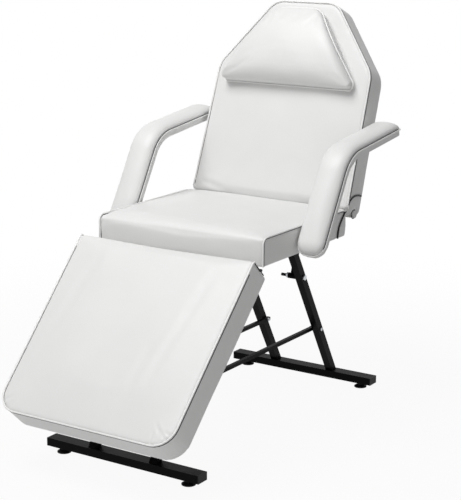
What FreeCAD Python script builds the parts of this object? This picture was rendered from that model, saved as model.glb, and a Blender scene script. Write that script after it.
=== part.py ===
# Beauty bed: a steel stand that carries a padded seat, a hinged back with a head pillow,
# a hinged leg rest and two pull-out armrests. Millimetres and degrees.
# X runs across the bed, -Y is the foot end, +Z is up; the floor is at zero.
import math
import os
import re

import FreeCAD
import Part

SIZES = {
    # stand
    "seat_front": -164,
    "bar_length": 543,
    "bar_width": 44,
    "bar_height": 25,
    "tube": 25,
    "wall": 1.5,
    "leg_offset": 110,
    "front_bar_reach": 276,
    "rear_bar_reach": 255,
    "front_leg_inset": 55,
    "rear_leg_inset": 47,
    "tie_height": 210,
    "tie_size": 12,
    "tie_overhang": 16,
    "cap_flange": 3,
    "cap_plug": 12,
    # feet
    "foot_height": 17,
    "foot_inset": 45,
    "foot_radius": 21,
    "foot_brim": 3,
    "foot_base": 10,
    "foot_neck_radius": 11,
    "stud_radius": 5,
    "stud_length": 19,
    "weld_nut_radius": 9,
    "weld_nut_height": 8,
    # fasteners and fits
    "fit": 0.05,
    "clearance": 0.3,
    "overrun": 20,
    "pin_radius": 5,
    "pin_head_radius": 9.5,
    "pin_head": 6,
    "pin_tail": 3,
    "screw_radius": 3,
    "screw_head_radius": 6,
    "screw_head": 4,
    # cushions
    "board": 15,
    "cover": 8,
    "draw_in": 4,
    "crown_run": 90,
    "crown_rise": 8,
    "corner_radius": 26,
    # seat
    "seat_width": 596,
    "seat_length": 498,
    "seat_top": 673.5,
    "seat_thickness": 88,
    "front_tube_setback": 34,
    "front_tube_length": 400,
    "middle_tube_setback": 187.5,
    "rear_tube_inset": 90,
    "rail_end_gap": 2,
    # back
    "back_angle": 69.4,
    "back_side_gap": 2,
    "back_length": 655,
    "back_thickness": 90,
    "back_straight": 430,
    "back_top_width": 234,
    "shoulder_inset": 8,
    "shoulder_radius": 60,
    "back_top_radius": 45,
    "back_gap": 32,
    "back_hinge_depth": 18,
    "back_rail_start": 24,
    "back_rail_end": 560,
    "back_lower_tube": 290,
    "back_upper_tube": 500,
    "back_bottom_tube_radius": 12.5,
    "back_bottom_tube_out": 2.5,
    "back_bottom_tube_drop": 40,
    "hinge_plate": 5,
    "hinge_plate_length": 58,
    "hinge_arm": 11,
    # head pillow
    "pillow_start": 365,
    "pillow_length": 262,
    "pillow_side_gap": 40,
    "pillow_top_width": 172,
    "pillow_thickness": 66,
    "pillow_corner_radius": 10,
    "pillow_top_radius": 50,
    "pillow_lift": 0.5,
    # leg rest
    "leg_angle": 46.25,
    "leg_drop": 10,
    "leg_rest_width": 626,
    "leg_rest_end_width": 612,
    "leg_rest_length": 606.4,
    "leg_rest_thickness": 95,
    "leg_rest_end_radius": 65,
    "leg_hinge_depth": 100,
    "leg_hinge_setback": 17.2,
    "leg_rest_gap": 23,
    "leg_rail_offset": 165,
    "leg_rail_start": 34,
    "leg_rail_end": 520,
    "leg_lower_tube": 470,
    # telescopic struts
    "strut_offset": 81,
    "strut_eye": 15,
    "strut_pin_height": 415,
    "strut_eye_radius": 9.5,
    "strut_tube_radius": 8.5,
    "strut_rod_radius": 6.5,
    "strut_end_gap": 15,
    "strut_bolt_end": 39,
    "boss_radius": 13,
    "boss_length": 26,
    "knob_stand_off": 12,
    "knob_radius": 12,
    "knob_height": 13,
    "knob_lobe_radius": 5,
    "leg_strut_pin_setback": 200,
    "leg_strut_pin_drop": 104.5,
    "leg_strut_lug_drop": 38,
    "leg_strut_eye": 11,
    "lug": 5,
    "lug_radius": 12,
    # armrests
    "arm_gap": 5,
    "arm_width": 94,
    "arm_foot_setback": 170,
    "arm_foot_height": 592,
    "arm_bend_setback": 332,
    "arm_bend_height": 871,
    "arm_tip_setback": 664,
    "arm_tip_height": 911,
    "arm_bend_radius": 115,
    "arm_foot_radius": 40,
    "arm_tip_radius": 18,
    "arm_end_run": 40,
    "arm_crown": 28,
    "arm_board": 18,
    "arm_board_margin": 3,
    "stub_width": 40,
    "stub_height": 20,
    "stub_start": 150,
    "stub_inner_margin": 14,
    "stub_end_margin": 46,
    "stub_setback": 217,
    "socket_start": 145,
    "socket_margin": 0.3,
    "socket_wall": 2,
}

# The side of a cushion: share of its height, share of the draw-in at that height.
SIDE_SHARES = ((0, 1), (0.25, 0.25), (0.5, 0), (0.75, 0.25), (1, 1))
# The crown of a cushion: share of the run in from the edge, share of the rise.
CROWN_SHARES = ((0.3, 0.55), (0.65, 0.9), (1, 1))
# The head pillow: share of its thickness, then the insets of its lower edge, sides and upper edge
# as shares of its length.
PILLOW_SHARES = (
    (0, 0.03, 0.02, 0.03),
    (0.2, 0, 0, 0),
    (0.4, 0, 0.01, 0.06),
    (0.7, 0.03, 0.06, 0.3),
    (0.9, 0.08, 0.12, 0.45),
    (1, 0.17, 0.2, 0.53),
)
# The round ends of an armrest: shares of the end's run along the path.
ARM_END_SHARES = (0.03, 0.12, 0.28, 0.5, 1)
ARM_BEND_STEPS = 6
KNOB_LOBES = 5
SIDES = (("left", -1), ("right", 1))

doc = FreeCAD.newDocument("beauty_bed")
sheet = doc.addObject("Spreadsheet::Sheet", "Sizes")
for row, (alias, value) in enumerate(SIZES.items(), start=1):
    sheet.set(f"A{row}", str(value))
    sheet.setAlias(f"A{row}", alias)
doc.recompute()

nodes = []


def size(alias):
    return float(sheet.get(alias))


# Formulas name the sheet's aliases; this points them at the sheet.
def linked(formula):
    return re.sub(r"[a-z_]+", lambda hit: f"Sizes.{hit[0]}" if hit[0] in SIZES else hit[0], formula)


def bind(obj, prop, formula):
    obj.setExpression(prop, linked(formula))


def place(obj, at, tilt=None):
    if tilt:
        obj.Placement = FreeCAD.Placement(FreeCAD.Vector(), FreeCAD.Rotation(FreeCAD.Vector(1, 0, 0), 1))
        bind(obj, "Placement.Rotation.Angle", tilt)
    for axis, formula in zip("xyz", at):
        bind(obj, f"Placement.Base.{axis}", formula)


def block(start, spans):
    box = doc.addObject("Part::Box", "block")
    for prop, formula in zip(("Length", "Width", "Height"), spans):
        bind(box, prop, formula)
    place(box, start)
    return box


TURNS = {
    "x": FreeCAD.Rotation(FreeCAD.Vector(0, 1, 0), 90),
    "y": FreeCAD.Rotation(FreeCAD.Vector(1, 0, 0), -90),
    "z": FreeCAD.Rotation(),
}


def rod(start, radius, length, axis="x"):
    cylinder = doc.addObject("Part::Cylinder", "rod")
    bind(cylinder, "Radius", radius)
    bind(cylinder, "Height", length)
    cylinder.Placement = FreeCAD.Placement(FreeCAD.Vector(), TURNS[axis])
    place(cylinder, start)
    return cylinder


def hexagon(start, radius, height):
    prism = doc.addObject("Part::Prism", "hexagon")
    prism.Polygon = 6
    bind(prism, "Circumradius", radius)
    bind(prism, "Height", height)
    prism.Placement = FreeCAD.Placement(FreeCAD.Vector(), TURNS["x"])
    place(prism, start)
    return prism


def fuse(members):
    joined = doc.addObject("Part::MultiFuse", "fuse")
    joined.Shapes = members
    return joined


def gather(members):
    compound = doc.addObject("Part::Compound", "gather")
    compound.Links = members
    return compound


def cut(base, tools):
    result = doc.addObject("Part::Cut", "cut")
    result.Base = base
    result.Tool = tools[0] if len(tools) == 1 else gather(tools)
    return result


def common(base, tool):
    result = doc.addObject("Part::Common", "common")
    result.Base = base
    result.Tool = tool
    return result


def freeform(shape):
    feature = doc.addObject("Part::Feature", "freeform")
    feature.Shape = shape
    return feature


# A frame is where a moving section's own origin lies, and how far it is tilted about X.
def node(label, members, frame=None):
    piece = doc.addObject("Part::Compound", label)
    piece.Links = members
    piece.Label = label
    if frame:
        place(piece, *frame)
    nodes.append(piece)


# The start and span across X of a piece between two distances from the middle, on one side.
def across(side, inner, outer):
    start = f"({inner})" if side > 0 else f"0 - ({outer})"
    return start, f"({outer}) - ({inner})"


def square_tube(start, spans, along, holes=()):
    outer = block(start, spans)
    inner_start = []
    inner_spans = []
    for axis, begin, span in zip("xyz", start, spans):
        if axis == along:
            inner_start.append(f"{begin} - overrun")
            inner_spans.append(f"{span} + 2 * overrun")
        else:
            inner_start.append(f"{begin} + wall")
            inner_spans.append(f"{span} - 2 * wall")
    return cut(outer, [block(inner_start, inner_spans), *holes])


def bore(side, inner, outer, y, z, radius="pin_radius"):
    start, span = across(side, f"{inner} - overrun", f"{outer} + overrun")
    return rod((start, y, z), f"{radius} + fit", span)


# A bolt from an outer face to its end, and the nut on it, both along X on one side.
def bolt(side, head_face, end, y, z, kind="pin"):
    start, span = across(side, end, head_face)
    shank = rod((start, y, z), f"{kind}_radius", span)
    start, span = across(side, head_face, f"{head_face} + {kind}_head")
    return fuse([shank, hexagon((start, y, z), f"{kind}_head_radius", span)])


def nut(side, face, y, z, kind="pin"):
    start, span = across(side, f"{face} - {kind}_head", face)
    hole = bore(side, f"{face} - {kind}_head", face, y, z, f"{kind}_radius")
    return cut(hexagon((start, y, z), f"{kind}_head_radius", span), [hole])


# Places shared by several pieces.
SEAT_REAR = "(seat_front + seat_length)"
SEAT_BOTTOM = "(seat_top - seat_thickness)"
RAIL_BOTTOM = "(seat_top - seat_thickness - tube)"
BAR_TOP = "(foot_height + bar_height)"
LEG_INNER = "(leg_offset - tube / 2)"
LEG_OUTER = "(leg_offset + tube / 2)"
BARS = {
    "front": "(seat_front - front_bar_reach)",
    "rear": f"({SEAT_REAR} + rear_bar_reach)",
}
LEG_TOPS = {
    "front": "(seat_front + front_leg_inset)",
    "rear": f"({SEAT_REAR} - rear_leg_inset)",
}
BACK_Y = f"({SEAT_REAR} + back_gap / 2)"
BACK_Z = "(seat_top - back_hinge_depth)"
BACK = (("0", BACK_Y, BACK_Z), "back_angle")
BACK_BOTTOM = "(back_hinge_depth - back_thickness)"
LEG_Y = "(seat_front + leg_hinge_setback)"
LEG_Z = "(seat_top - leg_hinge_depth)"
LEG = (("0", LEG_Y, LEG_Z), "leg_angle")
LEG_BOTTOM = "(leg_hinge_depth - leg_rest_thickness)"


def on_leg(end, z):
    slope = f"({LEG_TOPS[end]} - {BARS[end]}) / ({RAIL_BOTTOM} - {BAR_TOP})"
    return f"({BARS[end]} + ({z} - {BAR_TOP}) * {slope})"


# Floor bars, their end caps, the feet and the nuts that hold them.
FOOT_X = "(bar_length / 2 - foot_inset)"
caps = []
weld_nuts = []
for end, bar_y in BARS.items():
    bar_start = ("0 - bar_length / 2", f"{bar_y} - bar_width / 2", "foot_height")
    stud_holes = []
    for side_name, side in SIDES:
        stud_x = f"{side} * {FOOT_X}"
        hole_length = "foot_height + bar_height / 2"
        stud_holes.append(rod((stud_x, bar_y, "0"), "stud_radius + clearance", hole_length, "z"))
        nut_at = (stud_x, bar_y, "foot_height + wall")
        nut_hole = rod((stud_x, bar_y, "foot_height"), "stud_radius + fit", "bar_height", "z")
        weld_nuts.append(cut(rod(nut_at, "weld_nut_radius", "weld_nut_height", "z"), [nut_hole]))
        start, span = across(side, "bar_length / 2", "bar_length / 2 + cap_flange")
        flange = block((start, *bar_start[1:]), (span, "bar_width", "bar_height"))
        start, span = across(side, "bar_length / 2 - cap_plug", "bar_length / 2")
        plug_start = (start, f"{bar_start[1]} + wall", "foot_height + wall")
        plug = block(plug_start, (span, "bar_width - 2 * wall", "bar_height - 2 * wall"))
        caps.append(fuse([flange, plug]))
        base = rod((stud_x, bar_y, "0"), "foot_radius", "foot_brim", "z")
        taper = doc.addObject("Part::Cone", "taper")
        bind(taper, "Radius1", "foot_radius")
        bind(taper, "Radius2", "foot_neck_radius")
        bind(taper, "Height", "foot_base - foot_brim")
        place(taper, (stud_x, bar_y, "foot_brim"))
        neck = rod((stud_x, bar_y, "foot_base"), "foot_neck_radius", "foot_height - foot_base", "z")
        stud = rod((stud_x, bar_y, "foot_height"), "stud_radius", "stud_length", "z")
        node(f"foot_{end}_{side_name}", [fuse([base, taper, neck, stud])])
    bar_spans = ("bar_length", "bar_width", "bar_height")
    node(f"{end}_floor_bar", [square_tube(bar_start, bar_spans, "x", stud_holes)])
node("floor_bar_end_caps", caps)
node("foot_weld_nuts", weld_nuts)

# Legs: leaning square tubes, cut level on the floor bars and under the seat rails.
STRUT_PIN_Y = on_leg("rear", "strut_pin_height")
for end, bar_y in BARS.items():
    rise = f"({RAIL_BOTTOM} - {BAR_TOP})"
    run = f"({LEG_TOPS[end]} - {bar_y})"
    tie_y = on_leg(end, "tie_height")
    for side_name, side in SIDES:
        begin = f"{side} * leg_offset - tube / 2"
        tube_start = (begin, "0 - overrun", "0 - tube / 2")
        tube_spans = ("tube", f"sqrt({rise} ^ 2 + {run} ^ 2) + 2 * overrun", "tube")
        leaning = gather([square_tube(tube_start, tube_spans, "y")])
        place(leaning, ("0", bar_y, BAR_TOP), f"atan2({rise}; {run})")
        slab = block((begin, f"{bar_y} - bar_length", BAR_TOP), ("tube", "2 * bar_length", rise))
        holes = [bore(side, LEG_INNER, LEG_OUTER, tie_y, "tie_height", "screw_radius")]
        if end == "rear":
            holes.append(bore(side, LEG_INNER, LEG_OUTER, STRUT_PIN_Y, "strut_pin_height"))
        node(f"{end}_leg_{side_name}", [cut(common(leaning, slab), holes)])

# Tie rods join a front leg and a rear leg on each side, on the inner faces.
TIE_START = f"({on_leg('front', 'tie_height')} - tie_overhang)"
TIE_LENGTH = f"({on_leg('rear', 'tie_height')} + tie_overhang - {TIE_START})"
tie_bolts = []
for side_name, side in SIDES:
    start, span = across(side, f"{LEG_INNER} - tie_size", LEG_INNER)
    holes = []
    for end in BARS:
        tie_y = on_leg(end, "tie_height")
        holes.append(bore(side, f"{LEG_INNER} - tie_size", LEG_INNER, tie_y, "tie_height", "screw_radius"))
        bolt_end = f"{LEG_INNER} - tie_size - screw_head - pin_tail"
        tie_bolts.append(bolt(side, LEG_OUTER, bolt_end, tie_y, "tie_height", "screw"))
        tie_bolts.append(nut(side, f"{LEG_INNER} - tie_size", tie_y, "tie_height", "screw"))
    bar = block((start, TIE_START, "tie_height - tie_size / 2"), (span, TIE_LENGTH, "tie_size"))
    node(f"tie_rod_{side_name}", [cut(bar, holes)])
node("tie_rod_bolts", tie_bolts)

# Seat frame: two rails behind a front cross tube, with two short tubes between the rails.
RAIL_START = "(seat_front + front_tube_setback + tube)"
RAIL_LENGTH = f"({SEAT_REAR} - rail_end_gap - {RAIL_START})"
rails = []
for side_name, side in SIDES:
    start, span = across(side, LEG_INNER, LEG_OUTER)
    rails.append(square_tube((start, RAIL_START, RAIL_BOTTOM), (span, RAIL_LENGTH, "tube"), "y"))
node("seat_rails", rails)
front_start = ("0 - front_tube_length / 2", "seat_front + front_tube_setback", RAIL_BOTTOM)
node("seat_front_tube", [square_tube(front_start, ("front_tube_length", "tube", "tube"), "x")])
cross_tubes = []
for tube_y in ("seat_front + middle_tube_setback", f"{SEAT_REAR} - rear_tube_inset"):
    tube_start = (f"0 - {LEG_INNER}", tube_y, RAIL_BOTTOM)
    cross_tubes.append(square_tube(tube_start, (f"2 * {LEG_INNER}", "tube", "tube"), "x"))
node("seat_cross_tubes", cross_tubes)


# A closed outline at one height, from corners (x, y, radius) run anticlockwise and one inset per edge.
def outline(corners, insets, height):
    count = len(corners)
    lines = []
    for index in range(count):
        x, y, _ = corners[index]
        next_x, next_y, _ = corners[(index + 1) % count]
        length = math.hypot(next_x - x, next_y - y)
        heading = FreeCAD.Vector((next_x - x) / length, (next_y - y) / length, 0)
        inward = FreeCAD.Vector(-heading.y, heading.x, 0)
        lines.append((FreeCAD.Vector(x, y, height) + inward * insets[index], heading))
    edges = []
    ends = []
    for index in range(count):
        before_point, before = lines[index - 1]
        point, heading = lines[index]
        turn = before.x * heading.y - before.y * heading.x
        offset = point - before_point
        corner = before_point + before * ((offset.x * heading.y - offset.y * heading.x) / turn)
        half_turn = math.atan2(turn, before.dot(heading)) / 2
        reach = corners[index][2] * math.tan(half_turn)
        middle = corner + (heading - before).normalize() * (corners[index][2] * (1 / math.cos(half_turn) - 1))
        ends.append((corner - before * reach, middle, corner + heading * reach))
    for index in range(count):
        first, middle, last = ends[index]
        edges.append(Part.Arc(first, middle, last).toShape())
        edges.append(Part.makeLine(last, ends[(index + 1) % count][0]))
    return Part.Wire(edges)


def slab_of(corners, inset, bottom, thickness):
    face = Part.Face(outline(corners, [inset] * len(corners), bottom))
    return face.extrude(FreeCAD.Vector(0, 0, thickness))


# A box cushion over its board: sides drawn in at both seams, and a crowned top.
def cushion(corners, bottom, thickness):
    wires = []
    for height_share, draw_share in SIDE_SHARES:
        inset = size("draw_in") * draw_share
        wires.append(outline(corners, [inset] * len(corners), bottom + thickness * height_share))
    for run_share, rise_share in CROWN_SHARES:
        inset = size("draw_in") + size("crown_run") * run_share
        height = bottom + thickness + size("crown_rise") * rise_share
        wires.append(outline(corners, [inset] * len(corners), height))
    padding = Part.makeLoft(wires, True, True)
    pocket = slab_of(corners, size("cover") - size("clearance"), bottom, size("board") + size("clearance"))
    return padding.cut(pocket)


def board_of(corners, bottom):
    return slab_of(corners, size("cover"), bottom, size("board"))


def tapered(start, end, start_width, end_width, start_radius, end_radius):
    return [
        (-start_width / 2, start, start_radius),
        (start_width / 2, start, start_radius),
        (end_width / 2, end, end_radius),
        (-end_width / 2, end, end_radius),
    ]


# Seat: cushion and board, with the armrest sockets let into the cushion's sides.
seat_front = size("seat_front")
seat_bottom = size("seat_top") - size("seat_thickness")
seat_corners = tapered(
    seat_front, seat_front + size("seat_length"), size("seat_width"), size("seat_width"),
    size("corner_radius"), size("corner_radius"),
)
SOCKET_Y = "(seat_front + stub_setback - socket_margin - socket_wall)"
SOCKET_Z = f"({SEAT_BOTTOM} + board)"
SOCKET_WIDTH = "(stub_width + 2 * socket_margin + 2 * socket_wall)"
SOCKET_HEIGHT = "(stub_height + 2 * socket_margin + 2 * socket_wall)"
SOCKET_END = "(seat_width / 2 - draw_in)"
pockets = []
sockets = []
for side_name, side in SIDES:
    start, span = across(side, "socket_start - clearance", "seat_width / 2 + overrun")
    pocket_start = (start, f"{SOCKET_Y} - clearance", f"{SOCKET_Z} - clearance")
    pocket_width = f"{SOCKET_WIDTH} + 2 * clearance"
    pocket_height = f"{SOCKET_HEIGHT} + 2 * clearance"
    pockets.append(block(pocket_start, (span, pocket_width, pocket_height)))
    start, span = across(side, "socket_start", SOCKET_END)
    shell = block((start, SOCKET_Y, SOCKET_Z), (span, SOCKET_WIDTH, SOCKET_HEIGHT))
    start, span = across(side, "socket_start - overrun", "seat_width / 2 + overrun")
    hollow_start = (start, f"{SOCKET_Y} + socket_wall", f"{SOCKET_Z} + socket_wall")
    hollow_spans = (span, f"{SOCKET_WIDTH} - 2 * socket_wall", f"{SOCKET_HEIGHT} - 2 * socket_wall")
    sockets.append(cut(shell, [block(hollow_start, hollow_spans)]))
seat_padding = freeform(cushion(seat_corners, seat_bottom, size("seat_thickness")))
node("seat_cushion", [cut(seat_padding, pockets)])
node("seat_board", [freeform(board_of(seat_corners, seat_bottom))])
node("armrest_sockets", sockets)

# Back hinge: a plate on the inner face of each seat rail, a lug on each back rail, a bolt through both.
plates = []
lugs = []
hinge_bolts = []
for side_name, side in SIDES:
    start, span = across(side, f"{LEG_INNER} - hinge_plate", LEG_INNER)
    plate_start = (start, f"{SEAT_REAR} - hinge_plate_length", RAIL_BOTTOM)
    foot = block(plate_start, (span, "hinge_plate_length + back_gap / 2 + hinge_arm", "tube"))
    arm_start = (start, f"{BACK_Y} - hinge_arm", RAIL_BOTTOM)
    arm = block(arm_start, (span, "2 * hinge_arm", f"{BACK_Z} - {RAIL_BOTTOM}"))
    eye = rod((start, BACK_Y, BACK_Z), "hinge_arm", span)
    hole = bore(side, f"{LEG_INNER} - hinge_plate", LEG_INNER, BACK_Y, BACK_Z)
    plates.append(cut(fuse([foot, arm, eye]), [hole]))
    start, span = across(side, f"{LEG_INNER} + clearance", LEG_OUTER)
    arm_start = (start, "0 - hinge_arm", f"{BACK_BOTTOM} - tube")
    arm = block(arm_start, (span, "2 * hinge_arm", f"tube - {BACK_BOTTOM}"))
    toe = block(arm_start, (span, "hinge_arm + back_rail_start", "tube"))
    eye = rod((start, "0", "0"), "hinge_arm", span)
    lugs.append(cut(fuse([arm, toe, eye]), [bore(side, LEG_INNER, LEG_OUTER, "0", "0")]))
    nut_face = f"{LEG_INNER} - hinge_plate"
    bolt_end = f"{nut_face} - pin_head - pin_tail"
    hinge_bolts.append(bolt(side, f"{LEG_OUTER} + clearance", bolt_end, BACK_Y, BACK_Z))
    hinge_bolts.append(nut(side, nut_face, BACK_Y, BACK_Z))
node("back_hinge_plates", plates)
node("back_hinge_bolts", hinge_bolts)
node("back_hinge_lugs", lugs, BACK)

# Back frame: two rails with cross tubes, and a round tube out to each side below the cushion.
STRUT_TOP_Z = f"({BACK_BOTTOM} - tube / 2)"
STRUT_ARM = f"sqrt(({STRUT_PIN_Y} - {BACK_Y}) ^ 2 + (strut_pin_height - {BACK_Z}) ^ 2)"
STRUT_TOP_Y = f"sqrt(({STRUT_PIN_Y} - {BACK_Y}) ^ 2 + (strut_pin_height - {BACK_Z}) ^ 2 - {STRUT_TOP_Z} ^ 2)"
rails = []
bottom_tubes = []
bottom_caps = []
top_bolts = []
for side_name, side in SIDES:
    start, span = across(side, LEG_INNER, LEG_OUTER)
    rail_start = (start, "back_rail_start", f"{BACK_BOTTOM} - tube")
    rail_hole = bore(side, LEG_INNER, LEG_OUTER, STRUT_TOP_Y, STRUT_TOP_Z)
    rail_spans = (span, "back_rail_end - back_rail_start", "tube")
    rails.append(square_tube(rail_start, rail_spans, "y", [rail_hole]))
    tube_end = "seat_width / 2 - back_side_gap - cap_flange"
    tube_at = ("back_bottom_tube_out", "0 - back_bottom_tube_drop")
    start, span = across(side, LEG_OUTER, tube_end)
    pipe = rod((start, *tube_at), "back_bottom_tube_radius", span)
    start, span = across(side, LEG_OUTER, f"{tube_end} + overrun")
    bottom_tubes.append(cut(pipe, [rod((start, *tube_at), "back_bottom_tube_radius - wall", span)]))
    start, span = across(side, tube_end, f"{tube_end} + cap_flange")
    flange = rod((start, *tube_at), "back_bottom_tube_radius", span)
    start, span = across(side, f"{tube_end} - cap_plug", tube_end)
    bottom_caps.append(fuse([flange, rod((start, *tube_at), "back_bottom_tube_radius - wall - fit", span)]))
    nut_face = "strut_offset - strut_eye - clearance"
    top_bolts.append(bolt(side, LEG_OUTER, "strut_bolt_end", STRUT_TOP_Y, STRUT_TOP_Z))
    top_bolts.append(nut(side, nut_face, STRUT_TOP_Y, STRUT_TOP_Z))
node("back_rails", rails, BACK)
node("back_bottom_tubes", bottom_tubes, BACK)
node("back_bottom_tube_caps", bottom_caps, BACK)
node("back_strut_top_bolts", top_bolts, BACK)
cross_tubes = []
for tube_y in ("back_lower_tube", "back_upper_tube"):
    tube_start = (f"0 - {LEG_INNER}", tube_y, f"{BACK_BOTTOM} - tube")
    cross_tubes.append(square_tube(tube_start, (f"2 * {LEG_INNER}", "tube", "tube"), "x"))
node("back_cross_tubes", cross_tubes, BACK)

# Back cushion and board: nearly straight sides, then a taper to a narrow top.
back_start = size("back_gap") / 2
back_bottom = size("back_hinge_depth") - size("back_thickness")
back_half = size("seat_width") / 2 - size("back_side_gap")
shoulder_half = back_half - size("shoulder_inset")
back_corners = [
    (-back_half, back_start, size("corner_radius")),
    (back_half, back_start, size("corner_radius")),
    (shoulder_half, back_start + size("back_straight"), size("shoulder_radius")),
    (size("back_top_width") / 2, back_start + size("back_length"), size("back_top_radius")),
    (-size("back_top_width") / 2, back_start + size("back_length"), size("back_top_radius")),
    (-shoulder_half, back_start + size("back_straight"), size("shoulder_radius")),
]
node("back_cushion", [freeform(cushion(back_corners, back_bottom, size("back_thickness")))], BACK)
node("back_board", [freeform(board_of(back_corners, back_bottom))], BACK)

# Head pillow: thick along its lower edge, thin at the top, held on the back's face.
pillow_base = size("back_hinge_depth") + size("crown_rise") + size("pillow_lift")
pillow_start = back_start + size("pillow_start")
pillow_width = 2 * (back_half - size("pillow_side_gap"))
pillow_corners = tapered(
    pillow_start, pillow_start + size("pillow_length"), pillow_width, size("pillow_top_width"),
    size("pillow_corner_radius"), size("pillow_top_radius"),
)
pillow_wires = []
for height_share, low_share, side_share, top_share in PILLOW_SHARES:
    insets = [share * size("pillow_length") for share in (low_share, side_share, top_share, side_share)]
    height = pillow_base + size("pillow_thickness") * height_share
    pillow_wires.append(outline(pillow_corners, insets, height))
node("head_pillow", [freeform(Part.makeLoft(pillow_wires, True, True))], BACK)

# Leg rest hinge: pairs of plates on the front tube, a lug between them on each leg rest rail.
RAIL_INNER = "(leg_rail_offset - tube / 2)"
RAIL_OUTER = "(leg_rail_offset + tube / 2)"
plates = []
lugs = []
hinge_bolts = []
for side_name, side in SIDES:
    for inner in (f"{RAIL_INNER} - hinge_plate", RAIL_OUTER):
        start, span = across(side, inner, f"{inner} + hinge_plate")
        plate_start = (start, LEG_Y, f"{LEG_Z} - hinge_arm")
        strap = block(plate_start, (span, "front_tube_setback - leg_hinge_setback", "2 * hinge_arm"))
        eye = rod((start, LEG_Y, LEG_Z), "hinge_arm", span)
        plates.append(cut(fuse([strap, eye]), [bore(side, inner, f"{inner} + hinge_plate", LEG_Y, LEG_Z)]))
    start, span = across(side, f"{RAIL_INNER} + clearance", f"{RAIL_OUTER} - clearance")
    strap_start = (start, "0 - leg_rail_start", "0 - hinge_arm")
    strap = block(strap_start, (span, "leg_rail_start", f"hinge_arm + {LEG_BOTTOM}"))
    eye = rod((start, "0", "0"), "hinge_arm", span)
    lugs.append(cut(fuse([strap, eye]), [bore(side, RAIL_INNER, RAIL_OUTER, "0", "0")]))
    nut_face = f"{RAIL_INNER} - hinge_plate"
    bolt_end = f"{nut_face} - pin_head - pin_tail"
    hinge_bolts.append(bolt(side, f"{RAIL_OUTER} + hinge_plate", bolt_end, LEG_Y, LEG_Z))
    hinge_bolts.append(nut(side, nut_face, LEG_Y, LEG_Z))
node("leg_rest_hinge_plates", plates)
node("leg_rest_hinge_bolts", hinge_bolts)
node("leg_rest_hinge_lugs", lugs, LEG)

# Leg rest frame, with the lugs of its strut under the upper cross tube.
LEG_PIN_Y = "(seat_front + leg_strut_pin_setback)"
LEG_PIN_Z = f"({LEG_Z} - leg_strut_pin_drop)"
LEG_ARM = f"sqrt(({LEG_PIN_Y} - {LEG_Y}) ^ 2 + leg_strut_pin_drop ^ 2)"
LEG_TOP_Y = f"(0 - sqrt(({LEG_PIN_Y} - {LEG_Y}) ^ 2 + leg_strut_pin_drop ^ 2 - leg_strut_lug_drop ^ 2))"
rails = []
for side_name, side in SIDES:
    start, span = across(side, RAIL_INNER, RAIL_OUTER)
    rail_start = (start, "0 - leg_rail_end", f"{LEG_BOTTOM} - tube")
    rails.append(square_tube(rail_start, (span, "leg_rail_end - leg_rail_start", "tube"), "y"))
node("leg_rest_rails", rails, LEG)
cross_tubes = []
for tube_y in (f"{LEG_TOP_Y} - tube / 2", "0 - leg_lower_tube"):
    tube_start = (f"0 - {RAIL_INNER}", tube_y, f"{LEG_BOTTOM} - tube")
    cross_tubes.append(square_tube(tube_start, (f"2 * {RAIL_INNER}", "tube", "tube"), "x"))
node("leg_rest_cross_tubes", cross_tubes, LEG)


# A pair of lugs that hang from a tube's underside round a strut's eye.
def hanging_lugs(y, z, top):
    pair = []
    for _, side in SIDES:
        inner = "leg_strut_eye + clearance"
        start, span = across(side, inner, f"{inner} + lug")
        strap = block((start, f"{y} - lug_radius", z), (span, "2 * lug_radius", f"{top} - ({z})"))
        eye = rod((start, y, z), "lug_radius", span)
        pair.append(cut(fuse([strap, eye]), [bore(side, inner, f"{inner} + lug", y, z)]))
    return pair


def strut_bolt(y, z):
    face = "leg_strut_eye + clearance + lug"
    return [bolt(1, face, f"0 - ({face}) - pin_head - pin_tail", y, z), nut(-1, f"({face}) + pin_head", y, z)]


node("leg_strut_seat_lugs", hanging_lugs(LEG_PIN_Y, LEG_PIN_Z, RAIL_BOTTOM))
node("leg_strut_seat_bolt", strut_bolt(LEG_PIN_Y, LEG_PIN_Z))
node("leg_strut_rest_lugs", hanging_lugs(LEG_TOP_Y, "0 - leg_strut_lug_drop", f"{LEG_BOTTOM} - tube"), LEG)
node("leg_strut_rest_bolt", strut_bolt(LEG_TOP_Y, "0 - leg_strut_lug_drop"), LEG)

# Leg rest cushion and board: a little narrower at the foot end, with round lower corners.
leg_bottom = size("leg_hinge_depth") - size("leg_rest_thickness")
leg_corners = tapered(
    -size("leg_rest_gap") - size("leg_rest_length"), -size("leg_rest_gap"),
    size("leg_rest_end_width"), size("leg_rest_width"), size("leg_rest_end_radius"), size("corner_radius"),
)
node("leg_rest_cushion", [freeform(cushion(leg_corners, leg_bottom, size("leg_rest_thickness")))], LEG)
node("leg_rest_board", [freeform(board_of(leg_corners, leg_bottom))], LEG)


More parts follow.
